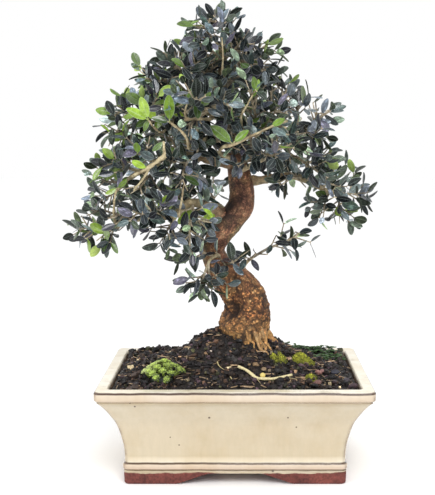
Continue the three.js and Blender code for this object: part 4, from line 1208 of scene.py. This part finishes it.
def add_grains(shape, noise, source):
    for _ in range(GRAINS):
        x, y = source.uniform(GRAINS_LOW, GRAINS_HIGH)
        tint = soil_colour(source, GRAIN_ODDS) * patch(noise, x, y)
        kind = source.random()
        if kind < CRUMB_SHARE:
            size = source.uniform(0.8, 3.2) * source.uniform(0.5, 1.3, 3)
        elif kind < CRUMB_SHARE + CHIP_SHARE:
            size = np.array((source.uniform(2.5, 7.5), source.uniform(1, 3), 0.8))
        else:
            size = np.array((source.uniform(4, 16), 0.8, 0.6))
            tint = FIBRE_COLOUR * source.uniform(0.08, 1.5)
        add_grain(shape, on_soil(x, y, 0.3 + 0.2 * size[2]), size, source, tint)


def soil_shape(noise, source):
    shape = Shape()
    add_ground(shape, noise)
    add_clods(shape, noise, source)
    for x, y, size, tint in PEBBLES:
        sizes = size * np.array((1.3, 0.9, 0.7))
        add_lump(shape, on_soil(x, y, 0.3 * size), sizes, source, tint, 0.16)
    add_grains(shape, noise, source)
    return shape


def add_drop(shape, base, axis, face, length, width, thick, tint):
    """A plump leaf or bead: a rounded body along an axis, flatter across its face."""
    side = cross(face, axis)
    shares = np.array((0.04, 0.2, 0.45, 0.7, 0.88, 0.98))
    half = np.sin(math.pi * shares ** 1.35) ** 0.6
    cosine, sine = circle(7)
    rings = [base + axis * (s * length) + side * (cosine * h * width / 2) + face * (sine * h * thick / 2)
             for s, h in zip(shares, half)]
    shape.add_rings(rings, 0, tint)


# Each layer of a rosette: its leaves, how far they lift in radians, and their length as a share of the radius
ROSETTE_LAYERS = ((7, 0.3, 1.0), (6, 0.75, 0.85), (4, 1.25, 0.65))
ROSETTE_STEP, ROSETTE_LEAST, ROSETTE_MOST, ROSETTE_ROWS, ROSETTE_COLUMNS = 8.8, 4.2, 4.8, (-3, 4), (-2, 3)
# Painted shade along each rosette leaf, ring by ring, from dark at its base to light at its tip
ROSETTE_BASE_SHADE = np.repeat((0.0, 0.05, 0.3, 0.7, 1.0, 1.15), 7)[:, None]
CUSHION_X, CUSHION_Y, CUSHION_WIDE, CUSHION_DEEP, CUSHION_HEIGHT = -67, -47, 18, 19, 10
# The dark dome that fills the cushion below its rosettes, painted dark as the shade between them, as radius
# and height
CUSHION_DOME = ((13, -6), (12, -1), (9, 3), (5, 5), (1, 6))


def add_rosette(shape, centre, up, lit, source):
    """Three layers of fleshy leaves on a short stem, with painted light and shade: brighter and yellower the
    higher the layer and the further back left, darker towards each leaf's base.
    """
    radius = source.uniform(ROSETTE_LEAST, ROSETTE_MOST)
    add_tube(shape, lambda t: centre + up * (t - 1) * 7, lambda t: 1.2, (0, 1), 7, (0.6, 0.3, 0))
    turn = source.uniform(0, TAU)
    for count, lift, reach in ROSETTE_LAYERS:
        for j in range(count):
            out = around(up, turn + j * TAU / count + lift)
            axis = unit(out * math.cos(lift) + up * math.sin(lift))
            face = unit(up * math.cos(lift) - out * math.sin(lift))
            # Painted light: brighter on higher layers and towards the back left, with a painted highlight on
            # the tips of the lit leaves
            bright = source.uniform(0.0, 0.5) + 0.45 * lift + 0.2 * lit
            shade = ROSETTE_BASE_SHADE * (bright, 0, max(0, 0.3 * lit)) + (0, source.random(), 0)
            length = radius * reach * source.uniform(0.9, 1.1)
            add_drop(shape, centre, axis, face, length, 0.72 * length, 0.42 * length, shade)


def rosettes_shape(source):
    """A cushion of small fleshy rosettes in staggered rows, with light from the back left painted on them."""
    shape = Shape()
    ground = soil_height(CUSHION_X, CUSHION_Y)
    dome = [ring(CUSHION_X, CUSHION_Y, ground + lift, radius, 24) for radius, lift in CUSHION_DOME]
    shape.add_rings(dome)
    for row in range(*ROSETTE_ROWS):
        for column in range(*ROSETTE_COLUMNS):
            dx = (column + 0.5 * (row % 2)) * ROSETTE_STEP / CUSHION_WIDE + source.uniform(-0.06, 0.06)
            dy = row * 0.8 * ROSETTE_STEP / CUSHION_DEEP + source.uniform(-0.06, 0.06)
            share = math.hypot(dx, dy)
            if share > 0.98 and (dy > 0 or abs(dx) > 0.5 or share > 1.3):
                continue
            up = unit(np.array((dx * 0.9, dy * 0.9, 1)))
            top = ground + 1 + CUSHION_HEIGHT * (1.4 - 1.05 * share) + source.uniform(-0.8, 0.8)
            centre = np.array((CUSHION_X + dx * CUSHION_WIDE, CUSHION_Y + dy * CUSHION_DEEP, top))
            add_rosette(shape, centre, up, dy - dx, source)
    return shape


STALK_LINE, STALK_LIFT = ((3, -49), (11, -55), (19, -61), (24, -63), (37, -59), (53, -51)), 2.6
# Twigs of the stalk: the share along it where each starts, where it ends, and how high it ends above the soil
STALK_TWIGS = ((0.9, (60, -56), 1.5), (0.4, (24, -67), 0.8))
STRAW_LINE = ((-18, -36), (-15, -47), (-7, -55), (-3, -61))
SEED_PLACE, SEED_LONG, SEED_WIDE = (25.5, -60), 6, 5.6
# Mounds of moss, as x, y, half width, half depth and height
MOSS = ((44, -26, 6, 7, 4), (37, -30, 4, 4, 3), (68, -12, 11, 9, 6), (60, -18, 6, 5, 3), (71, -46, 6, 7, 3))
# Seedlings, as x, y and spread, and how far their leaves may reach from the pot's centre
WEEDS = ((93, 54, 11), (79, 58, 11), (102, 45, 10), (64, 61, 8), (88, 30, 8), (50, 63, 6))
WEED_LIMITS = np.array((108, 72))


def stalk_shape():
    """The dry stalk with a knot, two side twigs and a seed ball, and a thin straw at its left."""
    shape = Shape()
    line = through([on_soil(x, y, STALK_LIFT) for x, y in STALK_LINE])
    knots = lambda t: 1.35 + 0.12 * math.sin(31 * t) + 0.35 * math.exp(-((t - 0.34) / 0.03) ** 2)
    add_tube(shape, line, knots, steps(60), 14, (0.75, 0.2, 0))
    straw = through([on_soil(x, y, 1) for x, y in STRAW_LINE])
    add_tube(shape, straw, lambda t: 0.5 + 0.2 * math.sin(9 * t), steps(16), 6, (0.35, 0.3, 0))
    for start, (x, y), lift in STALK_TWIGS:
        twig = lambda t: mix(line(start), on_soil(x, y, lift), t)
        add_tube(shape, twig, lambda t: 0.45 * (1.1 - t), steps(6), 6, (0.5, 0.5, 0))
    side = np.array((1.0, 0, 0))
    add_drop(shape, on_soil(*SEED_PLACE, 0.4), UP, side, SEED_LONG, SEED_WIDE, SEED_WIDE, (1, 0, 1))
    return shape


def add_tuft(shape, base, lean, size, tint):
    """A pointed moss tuft: where it stands, the way it points, and how long it is."""
    cosine, sine = circle(5)
    u, v = across(lean)
    rings = [base + lean * lift + (cosine * u + sine * v) * radius
             for lift, radius in ((-1.5, 0.5), (0.25 * size, 0.62), (size, 0.1))]
    shape.add_rings(rings, 0, tint)


def moss_shape(source):
    """Low mounds on the soil, closely set with tufts that are brightest in the middle."""
    shape = Shape()
    for x, y, wide, deep, height in MOSS:
        count = int(wide * deep * 5)
        for i in range(count):
            share, angle = math.sqrt((i + 0.5) / count), i * GOLDEN_ANGLE
            tuft_x = x + share * wide * math.cos(angle) + source.uniform(-0.4, 0.4)
            tuft_y = y + share * deep * math.sin(angle) + source.uniform(-0.4, 0.4)
            base = on_soil(tuft_x, tuft_y, height * (1 - share ** 2.2) - 0.6)
            lean = unit(np.array((source.normal(0, 0.35), source.normal(0, 0.35), 1)))
            size = source.uniform(1.2, 2.6)
            add_tuft(shape, base, lean, size, (source.random() * (1.2 - share), source.random(), 0))
    return shape


def weeds_shape(source):
    """A few small seedlings at the back right, with three round leaves on each stalk."""
    shape = Shape()
    for x, y, spread in WEEDS:
        root = on_soil(x, y, -0.5)
        for i in range(int(spread * 1.6)):
            angle = i * GOLDEN_ANGLE
            way = np.array((math.cos(angle), math.sin(angle), source.uniform(0.3, 1.4)))
            tip = root + unit(way) * source.uniform(0.4, 1) * spread
            tip[:2] = np.clip(tip[:2], -WEED_LIMITS, WEED_LIMITS)
            middle = mix(root, tip, 0.5) + UP * 1.5
            stalk = lambda t: (1 - t) ** 2 * root + 2 * t * (1 - t) * middle + t * t * tip
            add_tube(shape, stalk, lambda t: 0.3, steps(4), 5, (0.2, 0.5, 0))
            axis = unit(np.array((way[0], way[1], source.uniform(-0.2, 0.4))))
            face = unit(UP - axis * axis[2])
            for turn in (0, 1.9, -1.9):
                size = source.uniform(4, 7)
                tint = (source.uniform(0, 0.6), source.random(), 0)
                add_drop(shape, tip, turned(axis, face, turn), face, size, 0.7 * size, 0.8, tint)
    return shape


# Materials

def rgb(code):
    """A colour as the renderer takes it, from its hexadecimal code."""
    values = [int(code[i:i + 2], 16) / 255 for i in (0, 2, 4)]
    return [v / 12.92 if v < 0.04 else ((v + 0.055) / 1.055) ** 2.4 for v in values] + [1]


class Look:
    """A procedural material. Methods add nodes and return their output sockets."""

    def __init__(self, name):
        self.material = bpy.data.materials.new(name)
        self.material.use_nodes = True
        self.nodes, self.links = self.material.node_tree.nodes, self.material.node_tree.links
        self.shader = self.nodes["Principled BSDF"]
        self.position = self.nodes.new("ShaderNodeTexCoord").outputs["Object"]

    def put(self, value, socket):
        if isinstance(value, bpy.types.NodeSocket):
            self.links.new(value, socket)
        else:
            socket.default_value = value

    def add(self, kind, *values, **settings):
        node = self.nodes.new("ShaderNode" + kind)
        for key, value in settings.items():
            setattr(node, key, value)
        for value, socket in zip(values, node.inputs):
            if value is not None:
                self.put(value, socket)
        return node

    def math(self, operation, *values):
        return self.add("Math", *values, operation=operation).outputs[0]

    def times(self, first, second):
        return self.math("MULTIPLY", first, second)

    def split(self, vector):
        return self.add("SeparateXYZ", vector).outputs

    def stretched(self, *scale):
        return self.add("Mapping", self.position, None, None, scale).outputs[0]

    def noise(self, scale, detail=4, vector=None, roughness=0.6):
        node = self.add("TexNoise", self.position if vector is None else vector)
        node.inputs["Scale"].default_value = scale
        node.inputs["Detail"].default_value = detail
        node.inputs["Roughness"].default_value = roughness
        return node.outputs["Fac"]

    def random_cells(self, scale, shake_scale, reach):
        """A random value in each cell of a pattern that noise shakes by at most the reach."""
        shake = self.add("TexNoise", self.position)
        shake.inputs["Scale"].default_value = shake_scale
        values = shake.outputs["Color"], (reach,) * 3, self.position
        shaken = self.add("VectorMath", *values, operation="MULTIPLY_ADD")
        cells = self.add("TexVoronoi", shaken.outputs[0])
        cells.inputs["Scale"].default_value = scale
        return self.add("SeparateColor", cells.outputs["Color"]).outputs[1]

    def ramp(self, value, *stops):
        node = self.add("ValToRGB", value)
        elements = node.color_ramp.elements
        while len(elements) < len(stops):
            elements.new(0.5)
        for element, (place, _) in zip(elements, stops):
            element.position = place
        for element, (_, colour) in zip(elements, stops):
            element.color = rgb(colour) if isinstance(colour, str) else [colour] * 3 + [1]
        return node.outputs[0]

    def span(self, value, low, high, start=0.0, end=1.0):
        return self.add("MapRange", value, low, high, start, end).outputs[0]

    def blend(self, share, first, second, mode="MIX"):
        node = self.add("Mix", data_type="RGBA", blend_type=mode)
        self.put(share, node.inputs["Factor"])
        for value, socket in zip((first, second), node.inputs[6:8]):
            self.put(rgb(value) if isinstance(value, str) else value, socket)
        return node.outputs[2]

    def mottled(self, colour, value, *stops, share=1):
        """The colour made darker or brighter, as a ramp over a value says."""
        return self.blend(share, colour, self.ramp(value, *stops), "MULTIPLY")

    def wandering(self, value, scale, detail, reach):
        """The value moved up or down by noise, by at most the reach."""
        return self.math("ADD", value, self.span(self.noise(scale, detail), 0.3, 0.7, -reach, reach))

    def tint(self):
        node = self.add("Attribute", attribute_name="tint")
        return node.outputs["Color"], self.add("SeparateColor", node.outputs["Color"]).outputs

    def bump(self, height, strength, distance):
        node = self.add("Bump")
        self.put(strength, node.inputs["Strength"])
        self.put(distance, node.inputs["Distance"])
        self.put(height, node.inputs["Height"])
        self.put(node.outputs[0], self.shader.inputs["Normal"])

    def finish(self, colour, roughness, **inputs):
        self.put(rgb(colour) if isinstance(colour, str) else colour, self.shader.inputs["Base Color"])
        self.put(roughness, self.shader.inputs["Roughness"])
        for name, value in inputs.items():
            self.put(value, self.shader.inputs[name.replace("_", " ")])
        return self.material


# Heights in millimetres and colours up the pot's outside. The darker bands at 82.8 and 83.9 are painted shade
# in the groove under the rim.
GLAZE_BANDS = (
    (0, "b5a68b"), (12.8, "c4b69c"), (13.3, "6a593f"), (14, "6a593f"), (14.6, "c9b4a0"), (18.8, "d8c7b3"),
    (19.5, "523f30"), (20.3, "523f30"), (21, "e2d7c1"), (24.8, "d6c9b0"), (27, "c7b99e"), (55, "cabca2"),
    (79, "cbbfa7"), (82.8, "bbac90"), (83.9, "a08f74"), (85.2, "cab8a2"), (91.3, "d6c8b4"), (92.1, "462d22"),
    (93.3, "462d22"), (93.9, "f0eadb"),
)
GLAZE_SPAN = 100
# Pits in the glaze of the front, as x, z and radius in millimetres
PINHOLES = ((-23.4, 67, 1.3), (48.3, 67, 1), (56.3, 56.5, 0.9), (-59.7, 46, 0.8), (-51.7, 38, 0.9),
            (-90, 80, 1.1), (-94, 84, 0.8), (35, 13, 1.4))


def with_pinholes(look, colour, x, y, z):
    front = look.math("LESS_THAN", y, 0)
    for hole_x, hole_z, radius in PINHOLES:
        aside = look.math("POWER", look.math("SUBTRACT", x, CENTRE[0] + hole_x * MM), 2)
        above = look.math("POWER", look.math("SUBTRACT", z, hole_z * MM), 2)
        away = look.math("SQRT", look.math("ADD", aside, above))
        hole = look.times(front, look.span(away, 0.6 * radius * MM, radius * MM, 0.9, 0))
        colour = look.blend(hole, colour, "4a382c")
    return colour


def glaze_look():
    """Cream glaze, thin on the corners' ridges, that ends in an uneven line above the clay feet."""
    look = Look("cream glaze over clay")
    x, y, z = look.split(look.position)
    share = look.span(look.wandering(z, 30, 3, 0.0004), 0, GLAZE_SPAN * MM)
    colour = look.ramp(share, *[(height / GLAZE_SPAN, code) for height, code in GLAZE_BANDS])
    streaks = look.noise(1, 4, look.stretched(240, 240, 20))
    colour = look.mottled(colour, streaks, (0.32, 0.92), (0.7, 1.03), share=0.55)
    colour = look.mottled(colour, look.noise(24, 4), (0.3, "d6c6a6"), (0.62, "f0f0f0"), share=0.45)
    ridge = look.times(look.tint()[1][0], look.span(z, 0.013, 0.016))
    worn = look.ramp(look.noise(120, 3), (0.35, 0.3), (0.6, 1.0))
    ridge = look.times(look.math("POWER", ridge, 2), worn)
    colour = look.blend(look.times(ridge, 0.85), colour, "6b533c")
    colour = with_pinholes(look, colour, x, y, z)
    clay = look.span(look.wandering(z, 38, 4, 0.0013), 0.0106, 0.0112, 1, 0)
    bare = look.ramp(look.noise(60), (0.3, "552a26"), (0.7, "84463d"))
    bare = look.mottled(bare, look.noise(420, 3), (0.35, 0.62), (0.65, 1.15))
    colour = look.blend(clay, colour, bare)
    look.bump(look.noise(70, 3), 0.25, 0.0012)
    coat = look.span(clay, 0, 1, 0.5, 0)
    return look.finish(colour, look.span(clay, 0, 1, 0.2, 0.85), Coat_Weight=coat, Coat_Roughness=0.08)


def inner_glaze_look():
    """The same glaze inside, darker up to a little above the soil."""
    look = Look("cream glaze inside")
    colour = look.ramp(look.noise(45, 4), (0.35, "e0d4b8"), (0.65, "f3ecdb"))
    height = look.wandering(look.split(look.position)[2], 60, 4, 0.0012)
    # A darker brown band low on the inner wall, up to a little above the soil
    dark_band = look.ramp(look.noise(90, 3), (0.4, "3a2a22"), (0.65, "8a6c58"))
    colour = look.blend(look.span(height, 0.0905, 0.0935, 0.92, 0), colour, dark_band)
    return look.finish(colour, 0.3, Coat_Weight=0.3)


def upper_bark(look, grains):
    """Brown bark in pale and dark patches, with a green film here and there."""
    patches = look.noise(95, 5, roughness=0.7)
    colour = look.ramp(patches, (0.32, "38241d"), (0.46, "6a4636"), (0.57, "8f6349"), (0.7, "bd9570"))
    colour = look.blend(look.ramp(look.noise(38, 4), (0.46, 0.0), (0.62, 0.5)), colour, "7c7448")
    colour = look.blend(0.5, colour, grains, "MULTIPLY")
    return look.mottled(colour, look.noise(700, 3, roughness=0.8), (0.36, 0.45), (0.62, 1.5))


def corky_bark(look, grains, height):
    """Golden brown cork, lightest at the trunk's foot."""
    patches = look.noise(150, 6, roughness=0.8)
    colour = look.ramp(patches, (0.32, "4a2a1a"), (0.45, "8a5630"), (0.56, "b8834e"), (0.7, "e6c289"))
    colour = look.blend(0.85, colour, grains, "MULTIPLY")
    return look.blend(look.span(height, 0.128, 0.15, 0.4, 0), colour, "d9ac66")


def wood_look():
    """Bark and twigs. Tint holds how corky, how dark and how thin the wood is."""
    look = Look("bark")
    _, (cork, dark, thin) = look.tint()
    grains = look.ramp(look.random_cells(620, 400, 0.0022), (0.0, 0.3), (0.5, 0.8), (0.8, 1.3), (0.93, 3.1))
    height = look.split(look.position)[2]
    colour = look.blend(cork, upper_bark(look, grains), corky_bark(look, grains, height))
    # dark: the bark's own cracks and patches, and painted shade in the trunk's hollows and on its upper left
    # side
    colour = look.blend(look.times(dark, 0.94), colour, "1f120b")
    twig = look.ramp(look.noise(260, 4), (0.3, "83765a"), (0.5, "b5a784"), (0.7, "d8caa4"))
    colour = look.blend(thin, colour, twig)
    look.bump(look.noise(420, 5, roughness=0.75), 0.8, 0.0014)
    return look.finish(colour, 0.68, Specular_IOR_Level=0.45)


def soil_look():
    look = Look("moist soil")
    colour = look.mottled(look.tint()[0], look.noise(210, 5, roughness=0.75), (0.3, 0.45), (0.7, 1.7))
    look.bump(look.noise(900, 4), 0.6, 0.0008)
    return look.finish(colour, look.ramp(look.noise(260), (0.4, 0.35), (0.6, 0.9)))


# The leaves' two sides: name, colours over the hue, colours of young leaves, colour of the rib, and roughness
BLADE_LOOKS = (
    ("leaf top", ((0, "3b4632"), (0.2, "2b3835"), (0.6, "2d363d"), (1, "33303d")),
     ("34491f", "5f7c27", "8fab3c"), "9da8a2", 0.2),
    ("leaf underside", ((0, "5f6f4c"), (0.5, "627064"), (1, "6d7480")),
     ("5b7038", "86a052", "b0c46c"), "b3bdac", 0.5),
)
# Leaf brightness over each leaf's random value: darker and lighter leaves, and at the top end a painted sheen
# that makes the brightest leaves pale
BLADE_TONE_AND_SHEEN = ((0.0, 0.1), (0.45, 0.5), (0.7, 1.2), (0.88, 3.0), (1.0, 4.8))


def blade_look(name, hues, young, rib, roughness):
    """One side of the leaves. Tint holds youth, brightness and hue, and the map is across and along."""
    look = Look(name)
    _, (youth, bright, hue) = look.tint()
    across_blade, along, _ = look.split(look.add("UVMap", uv_map="blade").outputs[0])
    # The leaf's own tone, with a painted sheen on the brightest leaves
    colour = look.mottled(look.ramp(hue, *hues), bright, *BLADE_TONE_AND_SHEEN)
    # Painted highlights: pale streaks that run along each blade, in place of glints of light on its surface
    place = look.add("CombineXYZ", across_blade, look.times(along, 2.2), look.times(hue, 40)).outputs[0]
    colour = look.mottled(colour, look.noise(1.7, 2, place), (0.4, 0.85), (0.54, 1.05), (0.68, 2.8))
    fresh = look.ramp(youth, *zip((0.25, 0.6, 1.0), young))
    colour = look.blend(look.math("GREATER_THAN", youth, 0.1), colour, fresh)
    side = look.math("ABSOLUTE", across_blade)
    vein = look.math("SINE", look.times(look.math("SUBTRACT", along, look.times(side, 0.12)), 62))
    veins, midrib = look.span(vein, 0.8, 1, 0, 0.1), look.span(side, 0.02, 0.08, 0.3, 0)
    for share in (veins, midrib, look.span(side, 0.86, 1, 0, 0.55)):
        colour = look.blend(share, colour, rib)
    colour = look.mottled(colour, look.noise(300, 3), (0.3, 0.65), (0.7, 1.25))
    # Painted light and shade: broad lighter and darker patches over the crown, as sprays in light and in
    # shade
    colour = look.mottled(colour, look.noise(24, 2), (0.38, 0.72), (0.62, 1.4))
    look.bump(look.noise(450, 2), 0.25, 0.0007)
    return look.finish(colour, roughness, Specular_IOR_Level=look.span(bright, 0.1, 0.9, 0.12, 0.9))


def stalk_look():
    look = Look("young twigs")
    youth = look.tint()[1][0]
    colour = look.ramp(look.noise(240, 4), (0.3, "75695a"), (0.5, "a99a80"), (0.72, "ddd2ba"))
    colour = look.mottled(colour, look.noise(45, 2), (0.42, 0.38), (0.58, 1.1))
    colour = look.blend(look.times(youth, 0.7), colour, "8fae4a")
    return look.finish(colour, 0.6)


# The looks of what grows and lies on the soil: name, dark and bright colour, accent, roughness and sheen. The
# rosettes' pale accent is a painted highlight on the tips of their lit leaves.
ROSETTE_LOOK = ("rosette leaves", "0a1906", "c2dd62", "f0f0bc", 0.5, 0.08)
STRAW_LOOK = ("straw", "8d7a42", "efe3b4", "d6c274", 0.7, 0)
MOSS_LOOK = ("moss", "1e2505", "c8ca40", "d8d060", 0.8, 0)
WEED_LOOK = ("seedling leaves", "1c3618", "557a3a", "7fae4e", 0.5, 0)


def plant_look(name, low, high, accent, roughness, sheen):
    """Ground plants and straw. Tint holds brightness, its random change, and the share of the accent."""
    look = Look(name)
    _, (bright, varied, special) = look.tint()
    value = look.math("ADD", look.times(bright, 0.75), look.times(varied, 0.25))
    colour = look.ramp(value, (0.05, low), (0.9, high))
    colour = look.mottled(colour, look.noise(420, 3), (0.3, 0.75), (0.7, 1.2))
    colour = look.blend(special, colour, accent)
    return look.finish(colour, roughness, Coat_Weight=sheen)


def plain_look(name, colour, roughness):
    return Look(name).finish(colour, roughness)


# The scene

# Places in metres from the pot's centre. Each light has a name, a place, a size in metres and watts.
CAMERA_AT, CAMERA_TURN = Vector((0.0078, -0.908, 0.3243)), (math.radians(90 - 6.93), 0, 0)
LIGHTS = (("key", (0.3, -1.2, 1.35), 0.8, 14), ("fill", (-1.2, -0.8, 0.8), 0.6, 5))
LIGHTS_TARGET = (0, 0, 0.22)
CAMERA_SHIFT = -0.0525
CAMERA_LENS, SENSOR, CLIP_START = 68.47, 36, 0.01
FLOOR_REACH = 6000
# How far inside the CAD box the leaves stay
FRAME_INSET = 0.4


def area_light(name, place, target, size, power):
    light = bpy.data.lights.new(name, "AREA")
    light.energy, light.size = power, size
    lamp = linked(name, light)
    lamp.location = place
    lamp.rotation_euler = (target - place).to_track_quat("-Z", "Y").to_euler()


def studio(centre):
    """A white floor and sky, two lights, and the camera where the photo's stood."""
    floor = Shape()
    corners = [(x * FLOOR_REACH, y * FLOOR_REACH, 0) for x, y in ((-1, -1), (1, -1), (1, 1), (-1, 1))]
    floor.add(corners, [(0, 1, 2, 3)])
    floor = floor.make("floor", [plain_look("pale floor", "ffffff", 0.9)])
    scene = bpy.context.scene
    scene.world = bpy.data.worlds.new("studio")
    scene.world.use_nodes = True
    background = scene.world.node_tree.nodes["Background"].inputs
    background["Color"].default_value = (1, 1, 1, 1)
    background["Strength"].default_value = 1.0
    for name, place, size, power in LIGHTS:
        area_light(name, centre + Vector(place), centre + Vector(LIGHTS_TARGET), size, power)
    camera = bpy.data.cameras.new("photo")
    camera.lens, camera.sensor_width, camera.clip_start = CAMERA_LENS, SENSOR, CLIP_START
    camera.shift_x = CAMERA_SHIFT
    holder = linked("photo", camera)
    holder.location = centre + CAMERA_AT
    holder.rotation_euler = CAMERA_TURN
    scene.camera = holder
    scene.view_settings.view_transform = "Standard"


def add_tree(noise):
    sprays = grow_sprays()
    wood = wood_shape(sprays, noise).make("bark_of_tree", [wood_look()], crease=60)
    stand_for(wood, "bark", "trunk_and_branches")
    blades = [blade_look(*values) for values in BLADE_LOOKS] + [stalk_look()]
    for index, spray in enumerate(sprays):
        node = "spray_" + spray["name"]
        shape = spray_shape(spray, seeded("sprays", index))
        stand_for(shape.make("leafy_" + node, blades, crease=50), "foliage", node)
    young = young_leaves_shape(seeded("young")).make("young_leaves", blades, crease=50)
    stand_for(young, "foliage")


def add_soil_and_plants(noise):
    soil = soil_shape(noise, seeded("soil")).make("soil_surface", [soil_look()], crease=35)
    stand_for(soil, "soil", "soil")
    for name, shape, look, slot, *nodes in (
        ("rosette_cushion", rosettes_shape(seeded("rosettes")), ROSETTE_LOOK, "succulent", "ground_rosettes"),
        ("stalk_and_seed", stalk_shape(), STRAW_LOOK, "straw", "dry_stalk"),
        ("moss", moss_shape(seeded("moss")), MOSS_LOOK, "succulent"),
        ("seedlings", weeds_shape(seeded("seedlings")), WEED_LOOK, "succulent"),
    ):
        stand_for(shape.make(name, [plant_look(*look)]), slot, *nodes)


def paint_screens(nodes):
    """The drainage screens keep their CAD shape and take black plastic."""
    plastic = plain_look("black plastic", "1d1f1e", 0.5)
    for name in ("drain_screen_left", "drain_screen_right"):
        mesh = nodes[name].data
        mesh.materials.clear()
        mesh.materials.append(plastic)


def main():
    global CENTRE, FRAME_CORNERS
    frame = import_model()
    cad_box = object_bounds()
    low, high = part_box("pot")
    centre = (low + high) / 2
    centre.z = 0
    CENTRE = np.array(centre)
    FRAME_CORNERS = [(np.array(corner) - CENTRE) / MM + inset
                     for corner, inset in zip(cad_box, (FRAME_INSET, -FRAME_INSET))]

    noise = Noise(seeded("noise"))
    add_tree(noise)
    add_pot()
    add_soil_and_plants(noise)
    paint_screens(frame["nodes"])

    studio(centre)
    bpy.context.view_layer.update()


main()
